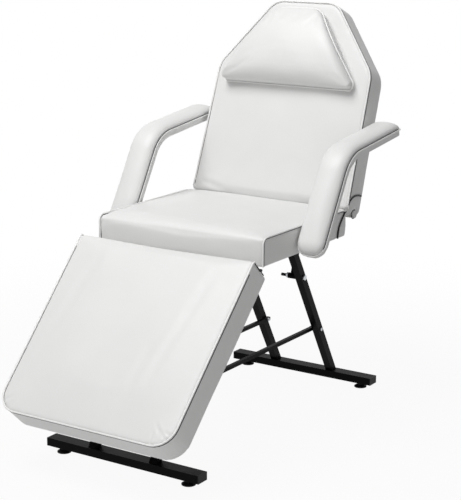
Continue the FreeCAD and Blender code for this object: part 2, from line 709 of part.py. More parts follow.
# A telescopic strut lies between two pins at equal distances from the hinge that it props, so it always
# turns half as far as the hinge. Its tube turns on the lower pin, its rod on the upper one.
def strut(names, x, eye_half, frames, closed, side):
    tube_frame, rod_frame = frames
    eye_start = f"{x} - {eye_half}"
    eye_span = f"2 * {eye_half}"
    tube_length = f"({closed} - strut_end_gap)"
    bore_radius = "strut_rod_radius + clearance"
    hole_start = (f"{x} - {eye_half} - overrun", "0", "0")
    pin_hole = rod(hole_start, "pin_radius + fit", f"2 * {eye_half} + 2 * overrun")
    eye = rod((eye_start, "0", "0"), "strut_eye_radius", eye_span)
    pipe = rod((x, "0", "0"), "strut_tube_radius", tube_length, "y")
    boss = rod((x, f"{tube_length} - boss_length", "0"), "boss_radius", "boss_length", "y")
    hollow = rod((x, "strut_eye_radius + wall", "0"), bore_radius, tube_length, "y")
    knob_y = f"({tube_length} - boss_length / 2)"
    tip = "strut_rod_radius + clearance"
    head = "boss_radius + knob_stand_off"

    def along_x(inner, outer):
        return (f"{x} - ({outer})" if side > 0 else f"{x} + ({inner})"), f"({outer}) - ({inner})"

    start, span = along_x("0", "boss_radius + overrun")
    stem_hole = rod((start, knob_y, "0"), "screw_radius + fit", span)
    node(names["tube"], [cut(fuse([eye, pipe, boss]), [hollow, pin_hole, stem_hole])], tube_frame)
    start, span = along_x(tip, head)
    stem = rod((start, knob_y, "0"), "screw_radius", span)
    start, span = along_x(head, f"{head} + knob_height")
    handle = [stem, rod((start, knob_y, "0"), "knob_radius", span)]
    for lobe in range(KNOB_LOBES):
        angle = f"({lobe} * 360 deg / {KNOB_LOBES})"
        lobe_at = (start, f"{knob_y} + knob_radius * cos({angle})", f"knob_radius * sin({angle})")
        handle.append(rod(lobe_at, "knob_lobe_radius", span))
    node(names["knob"], [fuse(handle)], tube_frame)
    rod_eye = rod((eye_start, "0", "0"), "strut_eye_radius", eye_span)
    bar_length = f"{closed} - strut_end_gap"
    bar = rod((x, f"0 - ({bar_length})", "0"), "strut_rod_radius", bar_length, "y")
    node(names["rod"], [cut(fuse([rod_eye, bar]), [pin_hole])], rod_frame)


# Back struts: lower pins through the rear legs, upper pins through the back rails.
low_angle = f"atan2(strut_pin_height - {BACK_Z}; {STRUT_PIN_Y} - {BACK_Y})"
high_angle = f"asin({STRUT_TOP_Z} / {STRUT_ARM})"
lean = f"({low_angle} + {high_angle} + back_angle * 1 deg) / 2 + 90 deg"
top_y = f"{BACK_Y} + {STRUT_TOP_Y} * cos(back_angle) - {STRUT_TOP_Z} * sin(back_angle)"
top_z = f"{BACK_Z} + {STRUT_TOP_Y} * sin(back_angle) + {STRUT_TOP_Z} * cos(back_angle)"
frames = ((("0", STRUT_PIN_Y, "strut_pin_height"), lean), (("0", top_y, top_z), lean))
closed = f"(2 * {STRUT_ARM} * sin(({high_angle} - {low_angle}) / 2))"
low_bolts = []
for side_name, side in SIDES:
    names = {kind: f"back_strut_{kind}_{side_name}" for kind in ("tube", "rod", "knob")}
    strut(names, f"({side} * strut_offset)", "strut_eye", frames, closed, side)
    low_bolts.append(bolt(side, LEG_OUTER, "strut_bolt_end", STRUT_PIN_Y, "strut_pin_height"))
    low_bolts.append(nut(side, "strut_offset - strut_eye - clearance", STRUT_PIN_Y, "strut_pin_height"))
node("back_strut_leg_bolts", low_bolts)

# Leg rest strut: one in the middle, shortest where the leg rest hangs lowest.
low_angle = f"(0 deg - atan2(leg_strut_pin_drop; {LEG_PIN_Y} - {LEG_Y}))"
high_angle = f"(180 deg + asin(leg_strut_lug_drop / {LEG_ARM}))"
lean = f"({low_angle} + {high_angle} + leg_angle * 1 deg) / 2 + 90 deg"
top_y = f"{LEG_Y} + {LEG_TOP_Y} * cos(leg_angle) + leg_strut_lug_drop * sin(leg_angle)"
top_z = f"{LEG_Z} + {LEG_TOP_Y} * sin(leg_angle) - leg_strut_lug_drop * cos(leg_angle)"
frames = ((("0", LEG_PIN_Y, LEG_PIN_Z), lean), (("0", top_y, top_z), lean))
spread = f"({low_angle} - {high_angle} - (leg_angle + leg_drop) * 1 deg + 360 deg)"
closed = f"(2 * {LEG_ARM} * sin({spread} / 2))"
names = {kind: f"leg_strut_{kind}" for kind in ("tube", "rod", "knob")}
strut(names, "0", "leg_strut_eye", frames, closed, -1)


# The armrest's path in side view: a straight rise, a bend and a straight top. Each station is a point,
# the direction along the path there, the width and the height of the pad's crown.
def armrest_stations():
    def point(setback, height):
        return FreeCAD.Vector(0, seat_front + size(setback), size(height))

    def end_profile(share, radius):
        run = share * size("arm_end_run")
        missing = max(radius - run, 0)
        width = size("arm_width") - 2 * (radius - math.sqrt(radius ** 2 - missing ** 2))
        return run, width, size("arm_crown") * math.sqrt(1 - (1 - share) ** 2)

    foot = point("arm_foot_setback", "arm_foot_height")
    corner = point("arm_bend_setback", "arm_bend_height")
    tip = point("arm_tip_setback", "arm_tip_height")
    rise = (corner - foot).normalize()
    top = (tip - corner).normalize()
    turn = math.acos(rise.dot(top))
    reach = size("arm_bend_radius") * math.tan(turn / 2)
    stations = []
    for share in ARM_END_SHARES:
        run, width, crown = end_profile(share, size("arm_foot_radius"))
        stations.append((foot + rise * run, rise, width, crown))
    bend_start = corner - rise * reach
    inward = FreeCAD.Vector(0, rise.z, -rise.y)
    centre = bend_start + inward * size("arm_bend_radius")
    for step in range(ARM_BEND_STEPS + 1):
        angle = turn * step / ARM_BEND_STEPS
        heading = rise * math.cos(angle) + inward * math.sin(angle)
        outward = FreeCAD.Vector(0, -heading.z, heading.y)
        along = centre + outward * size("arm_bend_radius")
        stations.append((along, heading, size("arm_width"), size("arm_crown")))
    for share in reversed(ARM_END_SHARES):
        run, width, crown = end_profile(share, size("arm_tip_radius"))
        stations.append((tip - top * run, top, width, crown))
    return stations


def pad_section(station, middle):
    point, heading, width, crown = station
    outward = FreeCAD.Vector(0, -heading.z, heading.y)
    half = FreeCAD.Vector(width / 2, 0, 0)
    base = point + FreeCAD.Vector(middle, 0, 0)
    ridge = base + outward * crown
    return Part.Wire([
        Part.makeLine(base - half, base + half),
        Part.Arc(base + half, ridge, base - half).toShape(),
    ])


def board_section(station, middle):
    point, heading, width, _ = station
    outward = FreeCAD.Vector(0, -heading.z, heading.y)
    half = FreeCAD.Vector(width / 2 - size("arm_board_margin"), 0, 0)
    upper = point + FreeCAD.Vector(middle, 0, 0) - outward * size("clearance")
    lower = point + FreeCAD.Vector(middle, 0, 0) - outward * size("arm_board")
    return Part.makePolygon([lower - half, lower + half, upper + half, upper - half, lower - half])


# The wedge that joins the sloping underside of the armrest's board to its level stub.
def wedge_between(point, rise, side):
    stub_y = seat_front + size("stub_setback")
    stub_z = seat_bottom + size("board") + size("socket_wall") + size("socket_margin")
    under_board = point + FreeCAD.Vector(0, rise.z, -rise.y) * size("arm_board")
    start = arm_inner + size("stub_inner_margin")
    end = arm_inner + size("arm_width") - size("stub_end_margin")
    begin = start if side > 0 else -end
    profile = []
    for height in (stub_z, stub_z + size("stub_height")):
        sloping_y = under_board.y + (height - under_board.z) * rise.y / rise.z
        profile.append((FreeCAD.Vector(begin, sloping_y, height), FreeCAD.Vector(begin, stub_y, height)))
    (low_front, low_rear), (high_front, high_rear) = profile
    face = Part.Face(Part.makePolygon([low_front, low_rear, high_rear, high_front, low_front]))
    return face.extrude(FreeCAD.Vector(end - start, 0, 0))


# Armrests: a padded bent board on a stub that slides into the seat's socket.
arm_stations = armrest_stations()
arm_inner = size("seat_width") / 2 + size("arm_gap")
STUB_Y = "(seat_front + stub_setback)"
STUB_Z = f"({SOCKET_Z} + socket_wall + socket_margin)"
STUB_OUTER = "(seat_width / 2 + arm_gap + arm_width - stub_end_margin)"
for side_name, side in SIDES:
    middle = side * (arm_inner + size("arm_width") / 2)
    pad = Part.makeLoft([pad_section(station, middle) for station in arm_stations], True, True)
    node(f"armrest_pad_{side_name}", [freeform(pad)])
    boards = [board_section(station, middle) for station in arm_stations]
    node(f"armrest_board_{side_name}", [freeform(Part.makeLoft(boards, True, True))])
    start, span = across(side, "stub_start", STUB_OUTER)
    stub = square_tube((start, STUB_Y, STUB_Z), (span, "stub_width", "stub_height"), "x")
    wedge = freeform(wedge_between(arm_stations[0][0], arm_stations[0][1], side))
    node(f"armrest_bracket_{side_name}", [fuse([stub, wedge])])

doc.recompute()
for piece in doc.Objects:
    if "Invalid" in piece.State or "Error" in piece.State:
        raise RuntimeError(f"{piece.Name} did not build: {piece.State}")
os.makedirs("parts", exist_ok=True)
for piece in nodes:
    solids = piece.Shape.Solids
    if not solids or not piece.Shape.isValid():
        raise RuntimeError(f"{piece.Label} has no valid solid")
    shape = solids[0] if len(solids) == 1 else piece.Shape
    shape.exportStep(f"parts/{piece.Label}.step")
print(f"{len(nodes)} nodes written")
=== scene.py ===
import math
import bpy
import numpy as np
from mathutils import Matrix, Vector
from mathutils.bvhtree import BVHTree


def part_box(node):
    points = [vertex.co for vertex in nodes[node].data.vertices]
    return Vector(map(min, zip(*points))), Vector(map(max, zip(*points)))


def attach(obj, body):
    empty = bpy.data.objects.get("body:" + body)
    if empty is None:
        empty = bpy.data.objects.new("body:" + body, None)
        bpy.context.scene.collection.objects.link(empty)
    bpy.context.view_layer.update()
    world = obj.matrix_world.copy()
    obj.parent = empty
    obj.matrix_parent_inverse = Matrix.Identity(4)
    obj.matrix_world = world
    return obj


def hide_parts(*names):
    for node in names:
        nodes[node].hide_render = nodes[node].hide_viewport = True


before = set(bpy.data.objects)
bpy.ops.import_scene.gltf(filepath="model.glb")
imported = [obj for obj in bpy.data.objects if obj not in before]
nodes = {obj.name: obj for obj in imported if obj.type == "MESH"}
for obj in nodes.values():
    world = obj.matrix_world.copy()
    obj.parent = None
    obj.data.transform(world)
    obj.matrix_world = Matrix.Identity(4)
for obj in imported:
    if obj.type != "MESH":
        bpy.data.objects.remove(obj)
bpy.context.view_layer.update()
# a millimetre in metres, and a metre in millimetres
mm = 0.001
metre = 1000
print("frame loaded,", len(nodes), "solids")


# colours and materials

def fromHex(text):
    parts = [int(text[i:i + 2], 16) / 255 for i in (1, 3, 5)]
    return (*[c / 12.92 if c <= 0.04045 else ((c + 0.055) / 1.055) ** 2.4 for c in parts], 1.0)


def addNode(tree, kind, settings=None, values=None, links=None):
    node = tree.nodes.new(kind)
    for name, value in (settings or {}).items():
        setattr(node, name, value)
    for name, value in (values or {}).items():
        node.inputs[name].default_value = value
    for name, source in (links or {}).items():
        tree.links.new(source, node.inputs[name])
    return node


# the colour sockets of a mix node, which share their names with its other sockets
mixFirst, mixSecond, mixResult = 6, 7, 2


def newMaterial(name):
    material = bpy.data.materials.new(name)
    material.use_nodes = True
    tree = material.node_tree
    tree.nodes.clear()
    return material, tree, addNode(tree, "ShaderNodeTexCoord").outputs["Object"]


def noise(tree, place, sizeMm, detail, **more):
    return addNode(tree, "ShaderNodeTexNoise", values={"Scale": metre / sizeMm, "Detail": detail, **more},
                   links={"Vector": place}).outputs["Fac"]


def twoTone(tree, factor, first, second):
    mix = addNode(tree, "ShaderNodeMix", {"data_type": "RGBA"}, links={"Factor": factor})
    mix.inputs[mixFirst].default_value = fromHex(first)
    mix.inputs[mixSecond].default_value = fromHex(second)
    return mix


def finishMaterial(tree, colour, gloss, roughness, relief, strength, depthMm, values):
    # one pattern spreads the roughness, another gives the relief
    low, high = roughness
    shine = addNode(tree, "ShaderNodeMapRange", values={"To Min": low, "To Max": high},
                    links={"Value": gloss})
    bump = addNode(tree, "ShaderNodeBump", values={"Strength": strength, "Distance": depthMm * mm},
                   links={"Height": relief})
    shader = addNode(tree, "ShaderNodeBsdfPrincipled", values=values,
                     links={"Base Color": colour, "Roughness": shine.outputs["Result"],
                            "Normal": bump.outputs["Normal"]})
    addNode(tree, "ShaderNodeOutputMaterial", links={"Surface": shader.outputs["BSDF"]})


vinylLook = {"bright": "#ebebea", "dull": "#e4e4e3", "cloudMm": 140, "grainMm": 3.4, "grainSoft": 0.7,
             "grainStrength": 0.35, "grainDepthMm": 0.07, "handMm": 18, "roughness": (0.38, 0.5), "ior": 1.5}


def polyurethaneVinyl(name, look):
    # coated cloth with a pressed leather grain: a soft broad shine, broken by fine pebbles
    material, tree, place = newMaterial(name)
    cloud = noise(tree, place, look["cloudMm"], 3.0)
    tone = twoTone(tree, cloud, look["bright"], look["dull"])
    # the real pebbles are under a millimetre; these are coarser, so that they show
    pebbles = addNode(tree, "ShaderNodeTexVoronoi", {"feature": "SMOOTH_F1"},
                      {"Scale": metre / look["grainMm"], "Smoothness": look["grainSoft"]},
                      {"Vector": place}).outputs["Distance"]
    hand = noise(tree, place, look["handMm"], 4.0)
    finishMaterial(tree, tone.outputs[mixResult], hand, look["roughness"], pebbles, look["grainStrength"],
                   look["grainDepthMm"], {"IOR": look["ior"]})
    return material


coatLook = {"deep": "#030304", "worn": "#080809", "dustMm": 45, "dustRough": 0.65, "peelMm": 2.6,
            "peelStrength": 0.3, "peelDepthMm": 0.03, "roughness": (0.34, 0.5), "ior": 1.5, "specular": 0.05}


def powderCoatedSteel(name, look):
    # sprayed black powder baked on: an even satin skin with a faint orange peel
    material, tree, place = newMaterial(name)
    dust = noise(tree, place, look["dustMm"], 5.0, Roughness=look["dustRough"])
    tone = twoTone(tree, dust, look["deep"], look["worn"])
    peel = noise(tree, place, look["peelMm"], 2.0)
    finishMaterial(tree, tone.outputs[mixResult], dust, look["roughness"], peel, look["peelStrength"],
                   look["peelDepthMm"], {"IOR": look["ior"], "Specular IOR Level": look["specular"]})
    return material


zincLook = {"bright": "#d3d6d8", "dull": "#a9adb1", "spangleMm": 5.0, "turning": (900.0, 60.0, 60.0),
            "lineStrength": 0.2, "lineDepthMm": 0.08, "roughness": (0.2, 0.38)}


def zincPlatedSteel(name, look):
    # turned steel dipped bright: cool grey metal with a cloudy, slightly scratched shine
    material, tree, place = newMaterial(name)
    cloud = noise(tree, place, look["spangleMm"], 4.0)
    colour = twoTone(tree, cloud, look["bright"], look["dull"]).outputs[mixResult]
    if "threadMm" in look:
        # the thread towards the middle is nearly black
        across = addNode(tree, "ShaderNodeSeparateXYZ", links={"Vector": place}).outputs["X"]
        inside = addNode(tree, "ShaderNodeMath", {"operation": "COMPARE"},
                         {1: 0.0, 2: look["threadMm"] * mm}, {0: across}).outputs["Value"]
        darkened = twoTone(tree, inside, look["bright"], look["threadTone"])
        tree.links.new(colour, darkened.inputs[mixFirst])
        colour = darkened.outputs[mixResult]
    turned = addNode(tree, "ShaderNodeMapping", values={"Scale": look["turning"]}, links={"Vector": place})
    lines = noise(tree, turned.outputs["Vector"], metre, 2.0)
    finishMaterial(tree, colour, cloud, look["roughness"], lines, look["lineStrength"], look["lineDepthMm"],
                   {"Metallic": 1.0})
    return material


plyLook = {"early": "#cfae7c", "late": "#a67f4d", "ringMm": 100.8, "poreMm": 10 / 9,
           "stretch": (1.0, 0.16, 0.5), "flame": {"Distortion": 7.0, "Detail": 3.0, "Detail Scale": 1.4},
           "fibreStrength": 0.3, "fibreDepthMm": 0.2, "roughness": (0.55, 0.75), "ior": 1.45}


def poplarPlywood(name, look):
    # rotary cut veneer, unfinished: a long flame figure with fine pores along it
    material, tree, place = newMaterial(name)
    along = addNode(tree, "ShaderNodeMapping", values={"Scale": look["stretch"]},
                    links={"Vector": place}).outputs["Vector"]
    figure = addNode(tree, "ShaderNodeTexWave", {"wave_type": "BANDS", "bands_direction": "X"},
                     {"Scale": metre / look["ringMm"], **look["flame"]}, {"Vector": along}).outputs["Fac"]
    tone = twoTone(tree, figure, look["early"], look["late"])
    pores = noise(tree, along, look["poreMm"], 3.0)
    finishMaterial(tree, tone.outputs[mixResult], pores, look["roughness"], pores, look["fibreStrength"],
                   look["fibreDepthMm"], {"IOR": look["ior"]})
    return material


plasticLook = {"deep": "#0a0a0b", "pale": "#121213", "scuffMm": 22, "sparkMm": 1.8, "sparkStrength": 0.35,
               "sparkDepthMm": 0.04, "roughness": (0.42, 0.58), "ior": 1.49, "specular": 0.16}


def mouldedPolypropylene(name, look):
    # moulded in a spark-eroded tool: a fine even grain and a low sheen
    material, tree, place = newMaterial(name)
    scuff = noise(tree, place, look["scuffMm"], 4.0)
    tone = twoTone(tree, scuff, look["deep"], look["pale"])
    spark = noise(tree, place, look["sparkMm"], 2.0)
    finishMaterial(tree, tone.outputs[mixResult], scuff, look["roughness"], spark, look["sparkStrength"],
                   look["sparkDepthMm"], {"IOR": look["ior"], "Specular IOR Level": look["specular"]})
    return material


trimLook = {**vinylLook, "grainDepthMm": 0.01, "roughness": (0.6, 0.7)}
coverVinyl = polyurethaneVinyl("white_polyurethane_vinyl_pressed", vinylLook)
pipingVinyl = polyurethaneVinyl("white_polyurethane_vinyl_piping",
                                {**trimLook, "bright": "#fbfbfa", "dull": "#f6f6f5", "roughness": (0.3, 0.4)})
# black vinyl tubes that paint the shadow in folds and gaps of the cover
paintedShadowVinyl = polyurethaneVinyl("black_vinyl_painted_shadow",
                                 {**trimLook, "bright": "#0c0c0d", "dull": "#080809"})
# grey vinyl tubes that paint the shade in the groove beside the piping
paintedShadeLineVinyl = polyurethaneVinyl("grey_vinyl_painted_shade_line",
                              {**trimLook, "bright": "#4c4c4d", "dull": "#3e3e3f"})
blackCoat = powderCoatedSteel("black_steel_powder_coated", coatLook)
zincSteel = zincPlatedSteel("steel_zinc_plated_turned", zincLook)
darkThreadSteel = zincPlatedSteel("steel_zinc_plated_dark_thread",
                             {**zincLook, "threadMm": 59.7, "threadTone": "#0c0c0d"})
plywood = poplarPlywood("poplar_plywood_rotary_cut", plyLook)
blackPlastic = mouldedPolypropylene("black_polypropylene_moulded", plasticLook)
palePlastic = mouldedPolypropylene("pale_polypropylene_moulded",
                                   {**plasticLook, "deep": "#d8d8d7", "pale": "#e4e4e3", "specular": 0.5})

softNodes = ["seat_cushion", "back_cushion", "leg_rest_cushion", "head_pillow",
             "armrest_pad_left", "armrest_pad_right"]


def finishOf(node):
    if node.startswith("armrest_board"):
        return coverVinyl
    if node.startswith("back_bottom_tube"):
        return palePlastic
    if node.endswith("_board"):
        return plywood
    if node == "back_strut_leg_bolts":
        return darkThreadSteel
    if "bolt" in node or "nuts" in node or node == "leg_strut_rod":
        return zincSteel
    if "_rod_" in node and node.startswith(("back_strut", "leg_strut")):
        return zincSteel
    if node.startswith("foot_") or node.endswith(("caps", "knob", "knob_left", "knob_right")):
        return blackPlastic
    return blackCoat


for nodeName, solid in nodes.items():
    if nodeName in softNodes:
        continue
    solid.data.materials.clear()
    solid.data.materials.append(finishOf(nodeName))
print("frame pieces finished")


# shaping tools for the upholstery, all in millimetres in a flat local frame

def ramp(value, start, run):
    # from 0 at the start to 1 after the run, downwards where the run is negative
    return np.clip((value - start) / run, 0, 1)


def bell(distance, width):
    return np.exp(-(distance / width) ** 2)


def waves(where, table):
    return sum(height * np.sin(where / length + phase) for height, length, phase in table)


def roundedRing(corners, radii, inset, step=9.0, perArc=7, leastRadius=2.0):
    # a convex outline moved in by inset, with every ring of one outline in step with the others
    count = len(corners)
    pts = [np.array(c, float) for c in corners]
    dirs = [(pts[(i + 1) % count] - pts[i]) for i in range(count)]
    lengths = [np.linalg.norm(d) for d in dirs]
    dirs = [d / l for d, l in zip(dirs, lengths)]
    inward = [np.array((-d[1], d[0])) for d in dirs]
    arcs = []
    for i in range(count):
        before, after = inward[i - 1], inward[i]
        corner = pts[i] + (before + after) * inset / (1 + float(before @ after))
        a, b = dirs[i - 1], dirs[i]
        turn = math.atan2(a[0] * b[1] - a[1] * b[0], float(a @ b))
        radius = max(radii[i] - inset, leastRadius)
        centre = corner - a * radius * math.tan(turn / 2) + before * radius
        start = math.atan2(-before[1], -before[0])
        angles = [start + turn * k / perArc for k in range(perArc + 1)]
        arcs.append([centre + radius * np.array((math.cos(t), math.sin(t))) for t in angles])
    ring = []
    for i in range(count):
        ring += arcs[i]
        end, nextStart = arcs[i][-1], arcs[(i + 1) % count][0]
        parts = max(int(lengths[i] / step), 2)
        ring += [end + (nextStart - end) * k / parts for k in range(1, parts)]
    return np.array(ring)


def withHeight(ring, height):
    return np.column_stack([ring, np.full(len(ring), height)])


closeShares = (0.992, 0.982, 0.97, 0.952, 0.93, 0.9, 0.86, 0.8, 0.72, 0.62, 0.5, 0.36, 0.2)


def domeRings(edge, centre, crown, fullness=2.6):
    # rings that close a face towards its centre, rising to the crown
    rings = []
    for share in closeShares:
        ring = centre + (edge - centre) * share
        ring[:, 2] = edge[:, 2] + crown * (1 - share ** fullness)
        rings.append(ring)
    return rings


def lipLevels(face, radius):
    # heights and insets of the rings that round a panel's edge
    turns = np.radians((0, 22, 45, 67, 90))
    return [(face - radius * (1 - math.sin(t)), radius * (1 - math.cos(t))) for t in turns]


fold = {"wrap": 42.0, "lap": 6, "step": 1, "recess": 10, "closeShares": (0.2, 0.6)}


def underside(corners, radii, centre, bottom, edgeInset):
    # the cover is folded under the board and leaves the middle of it bare
    low = [withHeight(roundedRing(corners, radii, inset), bottom)
           for inset in (fold["wrap"], edgeInset + fold["lap"])]
    bare = withHeight(roundedRing(corners, radii, fold["wrap"] + fold["step"]), bottom + fold["recess"])
    inner = [np.column_stack([centre[:2] + (bare[:, :2] - centre[:2]) * share, bare[:, 2]])
             for share in fold["closeShares"]]
    return inner + [bare] + low


def cushionRings(cushion, corners):
    # underside, side panels, rounded lip and crowned face, from the bottom up
    c = cushion
    heights = [(c["bottom"] + rise, inset) for rise, inset in c["levels"]] + lipLevels(c["face"], c["lip"])
    sides = [withHeight(roundedRing(corners, c["radii"], inset), z) for z, inset in heights]
    centre = np.array((0.0, c["centreY"], 0.0))
    dome = domeRings(sides[-1], centre + (0, 0, c["face"]), c["crown"])
    return underside(corners, c["radii"], centre, c["bottom"], c["levels"][0][1]) + sides + dome


def skinRings(name, rings):
    count = len(rings[0])
    points = np.vstack([*rings, rings[0].mean(axis=0), rings[-1].mean(axis=0)])
    faces = []
    for r in range(len(rings) - 1):
        low, high = r * count, (r + 1) * count
        faces += [(low + k, low + (k + 1) % count, high + (k + 1) % count, high + k) for k in range(count)]
    last = (len(rings) - 1) * count
    faces += [((k + 1) % count, k, last + count) for k in range(count)]
    faces += [(last + k, last + (k + 1) % count, last + count + 1) for k in range(count)]
    mesh = bpy.data.meshes.new(name)
    mesh.from_pydata((points * mm).tolist(), [], faces)
    mesh.update()
    return mesh


def readRows(mesh, what):
    flat = np.empty(len(mesh.vertices) * 3)
    mesh.vertices.foreach_get(what, flat)
    return flat.reshape(-1, 3)


def readPoints(mesh):
    return readRows(mesh, "co") / mm


def writePoints(mesh, points):
    mesh.vertices.foreach_set("co", (points * mm).ravel())
    mesh.update()


def placed(name, data):
    obj = bpy.data.objects.new(name, data)
    bpy.context.scene.collection.objects.link(obj)
    return obj


def evaluated(obj):
    graph = bpy.context.evaluated_depsgraph_get()
    return bpy.data.meshes.new_from_object(obj.evaluated_get(graph))


def dressed(mesh, material):
    mesh.materials.clear()
    mesh.materials.append(material)
    for polygon in mesh.polygons:
        polygon.use_smooth = True


def remeshed(mesh, voxelMm):
    obj = placed("remeshing", mesh)
    voxels = obj.modifiers.new("voxels", "REMESH")
    voxels.mode = "VOXEL"
    voxels.voxel_size = voxelMm * mm
    voxels.use_smooth_shade = True
    result = evaluated(obj)
    bpy.data.objects.remove(obj)
    bpy.data.meshes.remove(mesh)
    return result


def relax(mesh, rounds, pullIn=0.5, pushOut=-0.53):
    # evens out the voxel steps; each push out after a pull in keeps the size
    count = len(mesh.vertices)
    pairs = np.empty(len(mesh.edges) * 2, dtype=np.int64)
    mesh.edges.foreach_get("vertices", pairs)
    a, b = pairs.reshape(-1, 2).T
    links = np.bincount(a, minlength=count) + np.bincount(b, minlength=count)
    points = readPoints(mesh)
    for step in (pullIn, pushOut) * rounds:
        total = np.column_stack([np.bincount(a, points[b, k], count) + np.bincount(b, points[a, k], count)
                                 for k in range(3)])
        points = points + step * (total / links[:, None] - points)
    writePoints(mesh, points)


def drawnShape(mesh):
    return [v.co.copy() for v in mesh.vertices], [tuple(f.vertices) for f in mesh.polygons]


def snapped(mesh, shape):
    # brings the even mesh back on to the drawn shape, so that long edges run true
    tree = BVHTree.FromPolygons(*shape)
    points = readPoints(mesh)
    writePoints(mesh, np.array([tree.find_nearest(Vector(q))[0] for q in points * mm]) / mm)


def denser(path, gap=4.0, closed=False):
    path = np.array(path, float)
    if closed:
        path = np.vstack([path, path[:1]])
    out = []
    for a, b in zip(path[:-1], path[1:]):
        parts = max(int(np.linalg.norm(b - a) / gap), 1)
        out += [a + (b - a) * k / parts for k in range(parts)]
    return np.array(out + [path[-1]])


def mirrored(path, gap=6.0):
    # the same line on the near and the far side
    return [denser([(sign * x, y, z) for x, y, z in path], gap) for sign in (1, -1)]


def distanceTo(points, paths, chunkLength=60):
    gap = np.full(len(points), np.inf)
    for path in paths:
        line = denser(path)
        for chunk in np.array_split(line, max(len(line) // chunkLength, 1)):
            far = np.sqrt(((points[:, None, :] - chunk[None]) ** 2).sum(axis=2)).min(axis=1)
            gap = np.minimum(gap, far)
    return gap


fullHold, lightHold = 1.0, 0.25
coverCloth = {"quality": 4, "mass": 0.35, "tension_stiffness": 18, "compression_stiffness": 18,
              "shear_stiffness": 8, "use_pressure": True}


def blowUp(name, mesh, held, push):
    # a short pressure run: the seams and the underside are held, and the foam swells the cover
    obj = placed(name, mesh)
    start = readPoints(mesh)
    group = obj.vertex_groups.new(name="held")
    for level in (fullHold, lightHold):
        picked = np.where(np.isclose(held, level))[0].tolist()
        if picked:
            group.add(picked, level, "REPLACE")
    cloth = obj.modifiers.new("cloth", "CLOTH")
    for setting, value in coverCloth.items():
        setattr(cloth.settings, setting, value)
    cloth.settings.bending_stiffness = push["bending"]
    cloth.settings.uniform_pressure_force = push["pressure"]
    cloth.settings.effector_weights.gravity = 0
    cloth.settings.vertex_group_mass = "held"
    cloth.collision_settings.use_collision = False
    cloth.point_cache.frame_start = 1
    cloth.point_cache.frame_end = push["frames"]
    scene = bpy.context.scene
    for f in range(1, push["frames"] + 1):
        scene.frame_set(f)
    swollen = evaluated(obj)
    scene.frame_set(1)
    bpy.data.objects.remove(obj)
    bpy.data.meshes.remove(mesh)
    move = readPoints(swollen) - start
    far = np.linalg.norm(move, axis=1)
    keep = np.minimum(1.0, push["capMm"] / np.maximum(far, 1e-6))
    writePoints(swollen, start + move * keep[:, None])
    print("  ", name, "swelled at most", round(float(far.max()), 1), "mm, kept within", push["capMm"])
    return swollen


def crease(points, start, end, depth, width, fromSeam=False):
    # height change of one soft wrinkle between two points of the flat plan, fading at its ends
    a, b = np.array(start, float), np.array(end, float)
    line = b - a
    length = np.linalg.norm(line)
    rel = points[:, :2] - a
    t = (rel @ line) / length ** 2
    off = np.abs(rel[:, 0] * line[1] - rel[:, 1] * line[0]) / length
    fade = np.clip(t * (1 - t) * 4, 0, 1) ** 0.6
    if fromSeam:
        fade = np.clip(t * 9, 0, 1) * np.clip(1 - t, 0, 1) ** 0.8
    fade = fade * ((t > 0) & (t < 1))
    # a valley with a low ridge on both sides
    return fade * depth * (0.45 * bell(off - 1.9 * width, 1.1 * width) - bell(off, width))


def swell(points, height, size, seed):
    # slow uneven fill of the foam
    x, y = points[:, 0] / size, points[:, 1] / size
    long = np.sin(2.1 * x + seed) * np.cos(1.7 * y - 0.6 * seed)
    slanted = 0.6 * np.sin(1.3 * x - 2.3 * y + 2 * seed)
    short = 0.4 * np.cos(3.4 * x + 2.9 * y + seed)
    return height * (long + slanted + short) / 2


def slackOf(points, piece):
    # the uneven fill and the creases of one piece
    return swell(points, *piece["uneven"]) + sum(crease(points, *one) for one in piece["creases"])


def tilted(originMm, tiltDeg):
    return Matrix.Translation(Vector(originMm) * mm) @ Matrix.Rotation(math.radians(tiltDeg), 4, "X")


def pipe(name, paths, place, body, radius, material=pipingVinyl, closed=False):
    # piping cord in its own strip of vinyl, sewn into the seam; the same tube also draws the grey and black
    # lines of painted shade and painted shadow
    curve = bpy.data.curves.new(name, "CURVE")
    curve.dimensions = "3D"
    curve.bevel_depth = radius * mm
    curve.bevel_resolution = 3
    curve.use_fill_caps = True
    for path in paths:
        spline = curve.splines.new("POLY")
        spline.points.add(len(path) - 1)
        for point, where in zip(spline.points, path):
            point.co = (*(place @ Vector(np.array(where) * mm)), 1.0)
        spline.use_cyclic_u = closed
    line = placed(name + "_line", curve)
    mesh = evaluated(line)
    bpy.data.objects.remove(line)
    dressed(mesh, material)
    obj = placed(name, mesh)
    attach(obj, body)


def besideLine(path, gaps):
    # a line on the right hand of a flat path, for the grey line of painted shade beside the piping
    path = denser(path, 5.0)
    along = np.gradient(path, axis=0)
    along /= np.linalg.norm(along, axis=1)[:, None]
    return path + np.column_stack([along[:, 1], -along[:, 0]]) * gaps


def upholster(name, drawn, seams, isLow, details, piece, place, body, replaced):
    # remesh, pressure run, wrinkles and seam grooves, in that order
    push = piece["push"]
    shape = drawnShape(drawn)
    mesh = remeshed(drawn, piece["voxel"])
    relax(mesh, 4)
    snapped(mesh, shape)
    points = readPoints(mesh)
    gap = distanceTo(points, seams)
    tight, loose = push["heldMm"]
    held = np.where(gap < tight, fullHold, np.where(gap < loose, lightHold, 0.0))
    mesh = blowUp(name, mesh, np.where(isLow(points), fullHold, held), push)
    relax(mesh, push["evenRounds"])
    points = details(readPoints(mesh))
    writePoints(mesh, points)
    # the cover dips on both sides of the piping
    dip = push["grooveMm"] * bell(distanceTo(points, seams), push["grooveWidthMm"])
    writePoints(mesh, points - readRows(mesh, "normal") * dip[:, None])
    mesh.transform(place)
    dressed(mesh, coverVinyl)
    obj = placed(name, mesh)
    smooth = obj.modifiers.new("smoother", "SUBSURF")
    smooth.levels = 1
    smooth.render_levels = 1
    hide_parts(*replaced)
    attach(obj, body)
    print("made", name, len(mesh.vertices), "points")


